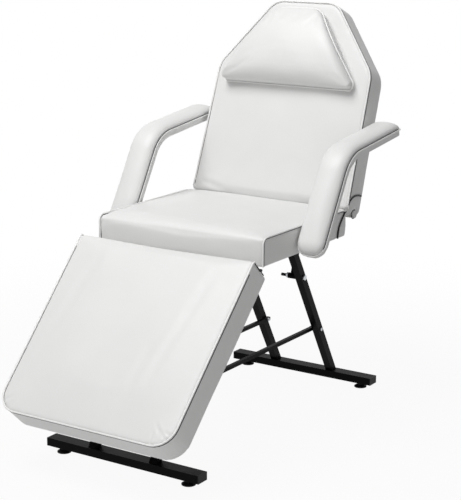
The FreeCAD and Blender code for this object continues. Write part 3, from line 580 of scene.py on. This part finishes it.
def rollEdge(points, axisY, axisZ, radius, forward):
    # rounds the cover over an end: points past the roll are drawn back on to it
    out = points.copy()
    dy, dz = points[:, 1] - axisY, points[:, 2] - axisZ
    far = np.hypot(dy, dz)
    past = (dy * forward > 0) & (dz > 0) & (far > radius)
    out[past, 1] = axisY + dy[past] * radius / far[past]
    out[past, 2] = axisZ + dz[past] * radius / far[past]
    return out


cushionPush = {"pressure": 1.3, "bending": 6.0, "frames": 16, "capMm": 6.0, "heldMm": (7, 13),
               "evenRounds": 2, "grooveMm": 2.6, "grooveWidthMm": 7.0}
# how much of the swelling stays where two cushions meet
meetShare = 0.25


# seat cushion: the top cover rolls over the front edge, the side panels are piped

seat = {"half": 296.5, "front": -163.0, "rear": 333.0, "bottom": 584.2, "face": 673.0,
        "crown": 5.0, "lip": 9.0, "radii": (12, 12, 14, 14),
        "levels": ((0, 2.5), (4, 0.8), (16, 0.3), (34, 0.0), (52, 0.0)),
        "centreY": 85.0, "roll": 19.0, "rearRoll": 16.0,
        "bulge": {"out": 6.5, "run": 40, "height": 622, "spread": 30, "from": 140, "fade": 20},
        "piping": 2.6, "seamInset": 0.6, "seamDrop": 3.2, "frontOut": 0.5, "frontRises": (2, 30),
        "sideRun": ((-60, 0), (80, 0), (220, 0), (306, 0), (322, -3), (329, -9)),
        "paintedShadeLine": 1.3, "paintedShadeLineGaps": (6.6, 4.0), "paintedShadeLineInset": 1.2,
        "paintedShadow": 2.7, "paintedShadowOut": 0.4,
        "paintedShadowArc": ((327, 663), (320, 661), (305, 646), (294, 634), (285, 622), (279, 606), (276, 586.2)),
        "uneven": (1.1, 130, 1.0), "slackDepth": 34, "slackRun": 20,
        "creases": (((284, 322), (214, 296), 2.4, 5.5), ((286, 316), (232, 262), 2.0, 6.0),
                    ((-284, 322), (-214, 296), 2.4, 5.5), ((-240, -120), (40, -128), 1.6, 9.0),
                    ((60, -124), (250, -118), 1.0, 9.0)),
        "frontSlack": {"back": 18, "spread": 24, "waves": ((1.8, 88, 0.6), (-1.0, 41, 0.0)), "sag": 0.8},
        "droop": {"depth": 5.0, "across": 60, "along": 46},
        "hang": {"from": 12, "run": 10, "ends": 6, "fade": 30, "waves": ((1.6, 52, 1.2),), "rise": 28,
                 "in": 0.8},
        "ear": {"out": 7.0, "across": 26, "along": 40, "drop": 26, "tall": 26},
        "hingeHalf": 138, "hingeRun": 40, "hingeRoom": 2, "voxel": 5.2, "push": cushionPush}


def makeSeat():
    s = seat
    corners = [(-s["half"], s["front"]), (s["half"], s["front"]), (s["half"], s["rear"]),
               (-s["half"], s["rear"])]
    bulge = s["bulge"]
    shaped = []
    for ring in cushionRings(s, corners):
        ring = rollEdge(ring, s["front"] + s["roll"], s["face"] - s["roll"], s["roll"], -1)
        ring = rollEdge(ring, s["rear"] - s["rearRoll"], s["face"] - s["rearRoll"], s["rearRoll"], 1)
        behind = ramp(ring[:, 1], s["rear"] - bulge["run"], bulge["run"])
        outer = ramp(np.abs(ring[:, 0]), bulge["from"], bulge["fade"])
        ring[:, 1] += bulge["out"] * behind * bell(ring[:, 2] - bulge["height"], bulge["spread"]) * outer
        shaped.append(ring)
    lift = s["face"] - s["seamDrop"]
    side = [(s["front"] - s["frontOut"], s["bottom"] + rise) for rise in s["frontRises"]]
    side += [(s["front"] + s["roll"] * (1 - math.cos(a)), lift - s["roll"] * (1 - math.sin(a)))
             for a in np.linspace(0, math.pi / 2, 8)]
    side += [(y, lift + rise) for y, rise in s["sideRun"]]
    seams = mirrored([(s["half"] - s["seamInset"], y, z) for y, z in side])
    # a grey line of painted shade runs on the side panel just under the piping
    shadeLinePlan = besideLine(side, s["paintedShadeLineGaps"])
    paintedShadeLines = [[(sign * (s["half"] - s["paintedShadeLineInset"]), y, z) for y, z in shadeLinePlan] for sign in (1, -1)]
    # behind, a black tube of painted shadow crosses the side panel in an arc, for the shadow of the fold in
    # the cover at the rounded rear end
    arcs = mirrored([(s["half"] + s["paintedShadowOut"], y, z) for y, z in s["paintedShadowArc"]])

    def details(points):
        x, y, z = points.T
        slack, droop, hang, ear = (s[name] for name in ("frontSlack", "droop", "hang", "ear"))
        # slack over the front roll, a drooping far corner, tucks by the rear corners
        rise = slackOf(points, s)
        front = bell(y - (s["front"] + slack["back"]), slack["spread"])
        rise += front * (waves(x, slack["waves"]) - slack["sag"])
        rise -= droop["depth"] * bell(x + s["half"], droop["across"]) * bell(y - s["front"], droop["along"])
        points[:, 2] += rise * ramp(z, s["face"] - s["slackDepth"], s["slackRun"])
        # the front face hangs a little slack between its ends
        loose = ramp(y, s["front"] + hang["from"], -hang["run"])
        loose = loose * ramp(np.abs(x), s["half"] - hang["ends"], -hang["fade"])
        sway = waves(x, hang["waves"]) * np.sin((z - s["bottom"]) / hang["rise"])
        points[:, 1] += loose * (sway + hang["in"])
        # the far front corner stands out a little where the cover is folded round it
        corner = bell(x + s["half"], ear["across"]) * bell(y - s["front"], ear["along"])
        points[:, 0] -= ear["out"] * corner * bell(z - s["face"] + ear["drop"], ear["tall"])
        # the front stays flat enough to meet the leg rest, and the middle of the rear clears the hinges
        points[:, 1] = np.maximum(y, s["front"] + meetShare * (y - s["front"]))
        hinges = (np.abs(x) < s["hingeHalf"]) & (y > s["rear"] - s["hingeRun"])
        points[hinges, 1] = np.minimum(points[hinges, 1], s["rear"] - s["hingeRoom"])
        return points

    def isLow(points):
        return points[:, 2] < s["bottom"] + 3

    place = Matrix.Identity(4)
    upholster("seat_cover", skinRings("seat_cover", shaped), seams + arcs, isLow, details, s,
              place, "stand", ["seat_cushion"])
    pipe("seat_piping", seams, place, "stand", s["piping"])
    pipe("seat_painted_shade_line", paintedShadeLines, place, "stand", s["paintedShadeLine"], paintedShadeLineVinyl)
    pipe("seat_painted_shadow", arcs, place, "stand", s["paintedShadow"], paintedShadowVinyl)


# back cushion: one piped face with cut-off shoulders, deep plain sides

back = {"hinge": (0.0, 350.0, 655.5), "tilt": 69.4, "half": 294.5, "shoulderHalf": 287.0, "topHalf": 117.0,
        "low": 4.5, "shoulder": 446.0, "high": 670.0, "bottom": -73.5, "face": 16.0, "crown": 6.0, "lip": 9.0,
        "radii": (16, 16, 85, 70, 70, 85), "levels": ((0, 3.0), (5, 1.0), (18, 0.3), (40, 0.0), (63.5, 0.1)),
        "centreY": 300.0, "roll": 7.0,
        "heel": {"out": 12.0, "notch": 12.0, "from": 136, "fade": 16, "top": 60, "run": 54,
                 "lower": (-72, 12), "upper": (4, -14), "notchUpper": (6, -12)},
        "piping": 2.6, "seamInset": 1.6, "pipingEnd": 44, "tailInset": 1.2,
        "tail": ((36, -1.6), (26, -2), (18, -5), (13, -11)),
        "paintedShadeLine": 1.3, "paintedShadeLineGap": 6.6, "paintedShadeLineInset": 0.7, "paintedShadow": 2.7, "paintedShadowOut": 0.3,
        "paintedShadowArc": ((22, 12), (34, 9), (43, 1), (50, -7), (57, -18), (62, -32), (65, -46), (66, -60.5)),
        "tube": {"y": 2.5, "z": -40, "ring": 14.2, "setback": 4.0, "dimple": 9.0, "reach": 17, "beyond": 250},
        "uneven": (1.3, 150, 2.3), "slackDepth": 12, "slackRun": 14,
        "creases": (((-262, 40), (-170, 24), 2.6, 9.0), ((262, 44), (205, 26), 1.6, 8.0)),
        "heelSag": {"depth": 1.0, "spread": 22, "even": 0.6, "waves": ((0.4, 70, 0.0),)},
        "hollow": {"from": 262, "run": 14, "z": -28, "spread": 30, "waves": ((1.6, 58, 0.8),)},
        "voxel": 5.2, "push": {**cushionPush, "grooveMm": 2.4}}


def makeBack():
    b = back
    corners = [(-b["half"], b["low"]), (b["half"], b["low"]), (b["shoulderHalf"], b["shoulder"]),
               (b["topHalf"], b["high"]), (-b["topHalf"], b["high"]), (-b["shoulderHalf"], b["shoulder"])]
    heel, tube = b["heel"], b["tube"]
    shaped = []
    for ring in cushionRings(b, corners):
        ring = rollEdge(ring, b["low"] + b["roll"], b["face"] - b["roll"], b["roll"], -1)
        # the heel wraps the frame tubes at both sides; between them the cover leaves room for the hinges
        x, y, z = ring.T
        outer = ramp(np.abs(x), heel["from"], heel["fade"])
        wrapped = heel["out"] * outer * ramp(z, *heel["lower"]) * ramp(z, *heel["upper"])
        notched = heel["notch"] * (1 - outer) * ramp(z, *heel["notchUpper"])
        ring[:, 1] += ramp(y, heel["top"], -heel["run"]) * (notched - wrapped)
        shaped.append(ring)
    lip = roundedRing(corners, b["radii"], b["seamInset"])
    start, stop = (int(np.argmin(np.hypot(lip[:, 0] - sign * b["half"], lip[:, 1] - b["pipingEnd"])))
                   for sign in (1, -1))
    lift = b["face"] - b["seamInset"]
    face = [(x, y, lift) for x, y in lip[start:stop + 1]]
    # a grey line of painted shade runs just under the piping
    shadeLinePlan = roundedRing(corners, b["radii"], b["paintedShadeLineInset"])[start:stop + 1]
    paintedShadeLine = [(x, y, lift - b["paintedShadeLineGap"]) for x, y in shadeLinePlan]
    # the piping ends low on the face; from there a black tube of painted shadow crosses the side panel in an
    # arc, for the shadow of the fold in the cover
    tail = [(b["half"] - b["tailInset"], y, b["face"] + drop) for y, drop in b["tail"]]
    seam = denser(tail[::-1] + face + [(-x, y, z) for x, y, z in tail], 6.0)
    arcs = mirrored([(b["half"] + b["paintedShadowOut"], y, z) for y, z in b["paintedShadowArc"]])
    # a black ring of painted shadow round each capped tube end, for the shaded wall of the dimple
    turns = np.linspace(0, 2 * math.pi, 24, endpoint=False)
    holes = [[(sign * (b["half"] - tube["setback"]), tube["y"] + tube["ring"] * math.cos(a),
               tube["z"] + tube["ring"] * math.sin(a)) for a in turns] for sign in (1, -1)]

    def details(points):
        x, y, z = points.T
        sag, hollow = b["heelSag"], b["hollow"]
        rise = slackOf(points, b)
        rise -= sag["depth"] * bell(y - b["low"], sag["spread"]) * (sag["even"] + waves(x, sag["waves"]))
        points[:, 2] += rise * ramp(z, b["face"] - b["slackDepth"], b["slackRun"])
        # side panels: soft hollows below the shoulders
        side = ramp(np.abs(x), hollow["from"], hollow["run"]) * bell(z - hollow["z"], hollow["spread"])
        points[:, 0] += np.sign(x) * side * waves(y, hollow["waves"])
        # the capped tube ends show in a shallow dimple of the heel
        dimple = np.exp(-(np.hypot(y - tube["y"], z - tube["z"]) / tube["reach"]) ** 4)
        points[:, 0] -= np.sign(x) * tube["dimple"] * dimple * (np.abs(x) > tube["beyond"])
        return points

    def isLow(points):
        return points[:, 2] < b["bottom"] + 3

    place = tilted(b["hinge"], b["tilt"])
    upholster("back_cover", skinRings("back_cover", shaped), [seam] + arcs, isLow, details, b,
              place, "back", ["back_cushion"])
    pipe("back_piping", [seam], place, "back", b["piping"])
    pipe("back_painted_shade_line", [paintedShadeLine], place, "back", b["paintedShadeLine"], paintedShadeLineVinyl)
    # the ring of painted shadow round the tube ends
    pipe("back_tube_painted_shadow", holes, place, "back", b["paintedShadeLine"], paintedShadowVinyl, closed=True)
    pipe("back_painted_shadow", arcs, place, "back", b["paintedShadow"], paintedShadowVinyl)


# leg rest: rounded foot corners, piped face that rolls over the upper end

legRest = {"hinge": (0.0, -146.8, 573.5), "tilt": 46.25, "upperHalf": 311.5, "footHalf": 304.5,
           "upper": -24.0, "foot": -628.0, "bottom": 3.4, "face": 98.0, "crown": 6.0, "lip": 9.0,
           "roll": 13.0,
           "radii": (66.0, 66.0, 12, 12), "levels": ((0, 1.5), (4, 0.3), (18, 0.0), (42, 0.0)),
           "centreY": -320.0,
           "piping": 2.8, "seamInset": 1.2, "seamDrop": 1.6, "pipingEnd": 40, "overRoll": 6,
           "paintedShadeLine": 1.3, "paintedShadeLineGap": 6.6, "paintedShadeLineInset": 0.6,
           "paintedShadow": 1.9, "dropInset": 0.8, "drop": ((2.2, 3.4, 82), (2.6, 3.0, 58), (2.6, 3.0, 19.4)),
           "uneven": (1.2, 160, 4.1), "slackDepth": 8, "slackRun": 9,
           "creases": (((214, -70), (150, -470), 1.5, 14.0), ((-196, -60), (-250, -420), 1.3, 16.0),
                       ((120, -330), (96, -590), 1.0, 14.0)),
           "tucks": ((1, -86, 6, 2.4), (1, -70, 26, 3.6), (1, -57, -8, 3.0), (1, -43, 14, 3.8),
                     (1, -27, 30, 2.6), (-1, -72, 22, 2.4), (-1, -40, 22, 3.6)),
           "tuckStart": 62, "tuckWidth": 4.6, "voxel": 5.2, "push": cushionPush}


def makeLegRest():
    r = legRest
    corners = [(-r["footHalf"], r["foot"]), (r["footHalf"], r["foot"]), (r["upperHalf"], r["upper"]),
               (-r["upperHalf"], r["upper"])]
    shaped = [rollEdge(ring, r["upper"] - r["roll"], r["face"] - r["roll"], r["roll"], 1)
              for ring in cushionRings(r, corners)]
    # the ring starts at the far foot corner; the piping runs round the foot between the two upper ends
    lip = roundedRing(corners, r["radii"], r["seamInset"])
    end = r["upper"] - r["pipingEnd"]
    first = int(np.argmin(np.hypot(lip[:, 0] + r["upperHalf"], lip[:, 1] - end)))
    lip = np.roll(lip, -first, axis=0)
    stop = int(np.argmin(np.hypot(lip[:, 0] - r["upperHalf"], lip[:, 1] - end)))
    lift = r["face"] - r["seamDrop"]
    face = [(x, y, lift) for x, y in lip[:stop + 1]]
    # a grey line of painted shade runs just under the piping
    shadeLinePlan = np.roll(roundedRing(corners, r["radii"], r["paintedShadeLineInset"]), -first, axis=0)[:stop + 1]
    paintedShadeLine = [(x, y, lift - r["paintedShadeLineGap"]) for x, y in shadeLinePlan]
    edge = r["upperHalf"] - r["seamInset"]
    roll = [(edge, r["upper"] - r["roll"] * (1 - math.sin(a)), lift - r["roll"] * (1 - math.cos(a)))
            for a in np.linspace(0, math.pi / 2, 8)[:r["overRoll"]]]
    seam = denser([(-x, y, z) for x, y, z in reversed(roll)] + face + roll, 6.0)
    # over the end a dark tube of painted shadow takes the seam down the rounded corner, for the shadow of the
    # cover's fold there
    drop = [(edge - r["dropInset"], *roll[-2][1:])]
    drop += [(edge - inset, r["upper"] - setback, z) for inset, setback, z in r["drop"]]
    drops = mirrored(drop)

    def details(points):
        x, y, z = points.T
        # long faint pull lines down the face
        rise = slackOf(points, r)
        # short tucks where the cover is pulled round the near foot corner, fewer at the far one
        for sign, turn, reach, depth in r["tucks"]:
            hub = np.array((sign * (r["footHalf"] - r["radii"][0]), r["foot"] + r["radii"][0]))
            way = np.array((sign * math.cos(math.radians(turn)), math.sin(math.radians(turn))))
            start, end = hub + way * r["tuckStart"], hub + way * reach
            rise += crease(points, start, end, depth, r["tuckWidth"], True)
        points[:, 2] += rise * ramp(z, r["face"] - r["slackDepth"], r["slackRun"])
        # the upper end stays flat enough to meet the seat
        points[:, 1] = np.minimum(y, r["upper"] + meetShare * (y - r["upper"]))
        return points

    def isLow(points):
        return points[:, 2] < r["bottom"] + 3

    place = tilted(r["hinge"], r["tilt"])
    upholster("leg_rest_cover", skinRings("leg_rest_cover", shaped), [seam] + drops, isLow, details, r,
              place, "leg_rest", ["leg_rest_cushion"])
    pipe("leg_rest_piping", [seam], place, "leg_rest", r["piping"])
    pipe("leg_rest_painted_shade_line", [paintedShadeLine], place, "leg_rest", r["paintedShadeLine"], paintedShadeLineVinyl)
    pipe("leg_rest_painted_shadow", drops, place, "leg_rest", r["paintedShadow"], paintedShadowVinyl)


# head pillow: a wedge, full along its lower edge, with narrow gussets at the sides

pillow = {"low": 382.0, "high": 642.0, "lowHalf": 263.0, "farHalf": 254.0, "highHalf": 79.0, "shift": -4.0,
          "base": 25.5, "radii": (16, 19, 66, 66), "edgeInset": 2.0, "centreUp": 105.0,
          "baseShares": (0.3, 0.8),
          "gusset": ((0, 3), (0.05, 6), (0.12, 11), (0.27, 20), (0.45, 31), (0.62, 34), (0.8, 28), (0.9, 20),
                     (1, 11)),
          "rise": ((0, 19), (4, 36), (34, 62), (46, 68.5), (66, 71), (100, 70), (140, 65), (183, 56),
                   (240, 38), (262, 20)),
          "shoulder": ((0, 3), (4, 17), (11, 32), (22, 44), (38, 52), (60, 60), (120, 100)),
          "farShoulder": ((0, 3), (3, 20), (8, 41), (16, 56), (30, 64), (60, 76), (120, 110)),
          "gussetSpread": 0.06, "riseSpread": 7.0, "shoulderSpread": 8.0, "farSpread": 4.0, "blend": -3.0,
          "piping": 2.3, "pipingInset": 0.4, "pipingLift": 0.8,
          "uneven": (1.4, 90, 3.2), "slackFrom": 14, "slackRun": 12,
          "creases": (((226, 398), (176, 424), 0.8, 6.0), ((-226, 398), (-180, 420), 0.8, 6.0)), "voxel": 4.5,
          "push": {**cushionPush, "pressure": 3.0, "bending": 3.0, "capMm": 7.0, "grooveMm": 1.6}}


def softProfile(table, where, spread):
    # a table of heights read with its corners rounded off
    table = np.array(table, float)
    grid = np.linspace(table[0, 0], table[-1, 0], 240)
    heights = np.interp(grid, table[:, 0], table[:, 1])
    reach = max(int(spread / (grid[1] - grid[0])), 1)
    kernel = np.hanning(2 * reach + 3)[1:-1]
    padded = np.pad(heights, reach, mode="reflect", reflect_type="odd")
    return np.interp(where, grid, np.convolve(padded, kernel / kernel.sum(), "valid"))


def makePillow():
    p = pillow
    corners = [(-p["farHalf"], p["low"]), (p["lowHalf"], p["low"]), (p["highHalf"], p["high"]),
               (-p["highHalf"], p["high"])]
    tall = p["high"] - p["low"]
    foot = roundedRing(corners, p["radii"], 0.0)
    # the gusset is widest half way up and closes at the low corners
    along = np.clip((foot[:, 1] - p["low"]) / tall, 0, 1)
    gusset = softProfile(p["gusset"], along, p["gussetSpread"])
    edge = np.column_stack([roundedRing(corners, p["radii"], p["edgeInset"]), p["base"] + gusset])
    centre = np.array((0.0, p["low"] + p["centreUp"]))
    rings = [withHeight(centre + (foot - centre) * share, p["base"]) for share in p["baseShares"]]
    rings += [withHeight(foot, p["base"]), edge]
    slant = math.cos(math.atan2(p["lowHalf"] - p["highHalf"], tall))
    for share in (0.996,) + closeShares:
        ring = centre + (edge[:, :2] - centre) * share
        up = ring[:, 1] - p["low"]
        half = p["lowHalf"] + (p["highHalf"] - p["lowHalf"]) * up / tall
        rise = softProfile(p["rise"], up, p["riseSpread"])
        wall = softProfile(p["gusset"], up / tall, p["gussetSpread"])
        inset = (half - np.abs(ring[:, 0])) * slant
        # the far side is stuffed harder
        shoulder = wall + np.where(ring[:, 0] < 0, softProfile(p["farShoulder"], inset, p["farSpread"]),
                                   softProfile(p["shoulder"], inset, p["shoulderSpread"]))
        height = (rise ** p["blend"] + shoulder ** p["blend"]) ** (1 / p["blend"])
        rings.append(np.column_stack([ring, np.maximum(p["base"] + height, edge[:, 2])]))
    sewn = roundedRing(corners, p["radii"], p["pipingInset"])
    loop = denser(np.column_stack([sewn, edge[:, 2] + p["pipingLift"]]), 5.0, True)

    def details(points):
        points[:, 2] += slackOf(points, p) * ramp(points[:, 2], p["base"] + p["slackFrom"], p["slackRun"])
        return points

    def isLow(points):
        return points[:, 2] < p["base"] + 1

    place = tilted(back["hinge"], back["tilt"]) @ Matrix.Translation((p["shift"] * mm, 0, 0))
    upholster("pillow_cover", skinRings("pillow_cover", rings), [loop], isLow, details, p,
              place, "head_pillow", ["head_pillow"])
    pipe("pillow_piping", [loop[:-1]], place, "head_pillow", p["piping"], closed=True)


# armrest pads: low crowned pads on the bent boards, piped round the edge

armrest = {"inner": 304.0, "outer": 396.0, "foot": (6.0, 592.0), "bend": (168.0, 871.0),
           "tip": (500.0, 911.0), "bendRadius": 115.0, "footRadius": 40.0, "tipRadius": 18.0,
           "endRun": 40.0, "crown": 27.0, "step": 7.0,
           "endSpots": (0, 0.5, 1.5, 3, 5, 8, 11, 15, 20, 26, 33), "leastWidth": 1.0, "leastLift": 0.1,
           "archPower": 0.75, "sidePower": 0.8, "clear": 0.6, "baseShare": 0.8,
           "piping": 2.7, "pipingLift": 1.5, "paintedShadeLine": 1.1, "paintedShadeLineInset": 0.4, "paintedShadeLineLift": 2.3, "paintedShadeLineSkip": 9,
           "tuck": {"in": 16, "y": 20, "z": 612, "reach": 9, "back": 3.0, "down": 1.2},
           "ripple": {"height": 0.5, "up": 37, "across": 31}, "lowReach": 1.5, "voxel": 4.5,
           "push": {"pressure": 2.0, "bending": 5.0, "frames": 14, "capMm": 4.0, "heldMm": (5, 10),
                    "evenRounds": 0, "grooveMm": 1.8, "grooveWidthMm": 6.0}}


def armrestLine():
    # the pad's edge seen from the side: two straights and one bend, as points with their directions
    a = armrest
    foot, bend, tip = (np.array(a[k]) for k in ("foot", "bend", "tip"))
    one, two = (bend - foot) / np.linalg.norm(bend - foot), (tip - bend) / np.linalg.norm(tip - bend)
    turn = math.acos(float(one @ two))
    reach = a["bendRadius"] * math.tan(turn / 2)
    begin, finish = bend - one * reach, bend + two * reach
    normal = np.array((one[1], -one[0]))
    centre = begin + normal * a["bendRadius"]
    parts = int(a["bendRadius"] * turn / a["step"])
    curve = [centre + a["bendRadius"] * (one * math.sin(t) - normal * math.cos(t))
             for t in np.linspace(0, turn, parts + 1)]
    path = np.vstack([denser([foot, begin], a["step"])[:-1], curve, denser([finish, tip], a["step"])[1:]])
    along = np.gradient(path, axis=0)
    along /= np.linalg.norm(along, axis=1)[:, None]
    return path, np.column_stack([-along[:, 1], along[:, 0]])


def makeArmrest(side, sign):
    a = armrest
    path, outward = armrestLine()
    run = np.concatenate([[0], np.cumsum(np.linalg.norm(np.diff(path, axis=0), axis=1))])
    total = run[-1]
    # closer stations at both ends, where the plan is rounded
    tight = np.array(a["endSpots"])
    even = np.linspace(a["endRun"], total - a["endRun"], int((total - 2 * a["endRun"]) / a["step"]))
    spots = np.concatenate([tight, even, total - tight[::-1]])
    path, outward = (np.column_stack([np.interp(spots, run, line[:, k]) for k in (0, 1)])
                     for line in (path, outward))
    half = (a["outer"] - a["inner"]) / 2
    middle = sign * (a["inner"] + a["outer"]) / 2
    radius = np.where(spots < total / 2, a["footRadius"], a["tipRadius"])
    ends = np.minimum(spots, total - spots)
    width = half - (radius - np.sqrt(radius ** 2 - np.clip(radius - ends, 0, None) ** 2))
    lift = np.sqrt(1 - (1 - np.clip(ends / a["endRun"], 0, 1)) ** 2)
    rings = []
    for k in range(len(path)):
        w, h = max(width[k], a["leastWidth"]), a["crown"] * max(lift[k], a["leastLift"])
        ring = []
        # a flat-topped arch over the board
        for t in np.linspace(0, math.pi, 13):
            across = math.copysign(abs(math.cos(t)) ** a["sidePower"], math.cos(t))
            out = h * math.sin(t) ** a["archPower"] + a["clear"]
            ring.append((middle + w * across, *(path[k] + outward[k] * out)))
        for u in np.linspace(-a["baseShare"], a["baseShare"], 6):
            ring.append((middle + w * u, *path[k]))
        rings.append(np.array(ring))

    def edgeLine(way, inset, out, stations):
        return [(middle + way * (width[k] - inset), *(path[k] + outward[k] * out)) for k in stations]

    there, returning = (edgeLine(way, 0, a["pipingLift"], range(len(path))) for way in (1, -1))
    loop = denser(there + returning[::-1][1:-1], 5.0, True)
    # grey lines of painted shade beside the piping, on the pad
    sewn = range(a["paintedShadeLineSkip"], len(path) - a["paintedShadeLineSkip"])
    paintedShadeLines = [edgeLine(way, a["paintedShadeLineInset"], a["paintedShadeLineLift"] + a["piping"], sewn) for way in (1, -1)]

    def details(points):
        x, y, z = points.T
        tuck, ripple = a["tuck"], a["ripple"]
        # a tuck at the outer side of the foot end and fine slack on the inside of the bend
        gap = np.hypot(x - sign * (a["outer"] - tuck["in"]), np.hypot(y - tuck["y"], z - tuck["z"]))
        points[:, 1] += tuck["back"] * bell(gap, tuck["reach"])
        points[:, 2] -= tuck["down"] * bell(gap, tuck["reach"])
        points[:, 1] += ripple["height"] * np.sin(z / ripple["up"] + x / ripple["across"])
        return points

    def isLow(points):
        gaps = np.array([np.hypot(points[:, 1] - y, points[:, 2] - z) for y, z in path])
        return gaps.min(axis=0) < a["lowReach"]

    name, body, place = "armrest_cover_" + side, "armrest_" + side, Matrix.Identity(4)
    drawn = skinRings(name, rings)
    if sign < 0:
        drawn.flip_normals()
    upholster(name, drawn, [loop], isLow, details, a, place, body, ["armrest_pad_" + side])
    pipe("armrest_piping_" + side, [loop[:-1]], place, body, a["piping"], closed=True)
    pipe("armrest_painted_shade_line_" + side, paintedShadeLines, place, body, a["paintedShadeLine"], paintedShadeLineVinyl)


makeSeat()
makeBack()
makeLegRest()
makePillow()
for sideName in ("left", "right"):
    makeArmrest(sideName, -1 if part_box("armrest_pad_" + sideName)[0][0] < 0 else 1)


# studio: floor, light and camera

studio = {"floor": "#c9c9c9", "floorHalf": 9, "floorRough": 0.9, "paperWhite": 0.94, "fadeFrom": 0.7,
          "fadeTo": 2.6, "sky": 0.2,
          "key": {"where": (-0.7, -1.6, 4.55), "aim": (0, 0, 0.65), "size": (2.6, 2.2), "power": 146.0},
          "fill": {"where": (1.8, -4.0, 1.1), "aim": (0, -0.2, 0.5), "size": (2.4, 1.8), "power": 23.0}}
white = (1, 1, 1, 1)


def seenOrMirrored(tree):
    # 1 for what the camera sees straight or in a reflection, 0 for light that bounces
    ray = addNode(tree, "ShaderNodeLightPath").outputs
    return addNode(tree, "ShaderNodeMath", {"operation": "MAXIMUM"},
                   links={0: ray["Is Camera Ray"], 1: ray["Is Glossy Ray"]}).outputs["Value"]


def mixShaders(tree, factor, first, second):
    return addNode(tree, "ShaderNodeMixShader", links={0: factor, 1: first, 2: second}).outputs["Shader"]


def makeFloor():
    h = studio["floorHalf"]
    mesh = bpy.data.meshes.new("studio_floor")
    mesh.from_pydata([(-h, -h, 0), (h, -h, 0), (h, h, 0), (-h, h, 0)], [], [(0, 1, 2, 3)])
    floor = placed("studio_floor", mesh)
    material, tree, place = newMaterial("studio_paper")
    paper = addNode(tree, "ShaderNodeBsdfPrincipled",
                    values={"Base Color": fromHex(studio["floor"]), "Roughness": studio["floorRough"]})
    # to the eye and in reflections the paper is nearly white, and still takes the shadow
    glow = addNode(tree, "ShaderNodeEmission", values={"Color": white, "Strength": 1.0})
    # the paper runs out into the white backdrop
    far = addNode(tree, "ShaderNodeVectorMath", {"operation": "LENGTH"},
                  links={"Vector": place}).outputs["Value"]
    fade = addNode(tree, "ShaderNodeMapRange", {"interpolation_type": "SMOOTHSTEP"},
                   {"From Min": studio["fadeFrom"], "From Max": studio["fadeTo"],
                    "To Min": studio["paperWhite"], "To Max": 1.0}, {"Value": far}).outputs["Result"]
    share = addNode(tree, "ShaderNodeMath", {"operation": "MULTIPLY"},
                    links={0: seenOrMirrored(tree), 1: fade}).outputs["Value"]
    surface = mixShaders(tree, share, paper.outputs["BSDF"], glow.outputs["Emission"])
    addNode(tree, "ShaderNodeOutputMaterial", links={"Surface": surface})
    mesh.materials.append(material)


def makeSky():
    world = bpy.data.worlds.new("studio_sky")
    world.use_nodes = True
    tree = world.node_tree
    tree.nodes.clear()
    soft, seen = (addNode(tree, "ShaderNodeBackground", values={"Color": white, "Strength": strength})
                  for strength in (studio["sky"], 1.0))
    surface = mixShaders(tree, seenOrMirrored(tree), soft.outputs["Background"], seen.outputs["Background"])
    addNode(tree, "ShaderNodeOutputWorld", links={"Surface": surface})
    bpy.context.scene.world = world


def makeLamp(name, lamp):
    light = bpy.data.lights.new(name, "AREA")
    light.shape = "RECTANGLE"
    light.size, light.size_y = lamp["size"]
    light.energy = lamp["power"]
    obj = placed(name, light)
    obj.location = lamp["where"]
    obj.rotation_euler = (Vector(lamp["aim"]) - Vector(lamp["where"])).to_track_quat("-Z", "Y").to_euler()


# the camera fitted to the photo, with angles in radians and lengths in metres
camera = {"azimuth": 0.5758, "elevation": 0.2362, "roll": 0.0045, "distance": 4.6006,
          "target": (0.0026, 0.1172, 0.5419), "lens": 105.47, "sensor": 36.0}


def makeCamera():
    c = camera
    az, el, roll = c["azimuth"], c["elevation"], c["roll"]
    away = Vector((math.sin(az) * math.cos(el), -math.cos(az) * math.cos(el), math.sin(el)))
    across = Vector((math.cos(az), math.sin(az), 0))
    right = across * math.cos(roll) + away.cross(across) * math.sin(roll)
    data = bpy.data.cameras.new("photo_camera")
    data.sensor_fit = "VERTICAL"
    data.sensor_height = c["sensor"]
    data.lens = c["lens"]
    obj = placed("photo_camera", data)
    turn = Matrix((right, away.cross(right), away)).transposed().to_4x4()
    obj.matrix_world = Matrix.Translation(Vector(c["target"]) + away * c["distance"]) @ turn
    bpy.context.scene.camera = obj


makeFloor()
makeSky()
makeLamp("key_softbox", studio["key"])
makeLamp("fill_softbox", studio["fill"])
makeCamera()
bpy.context.scene.view_settings.view_transform = "Standard"

print("studio ready")
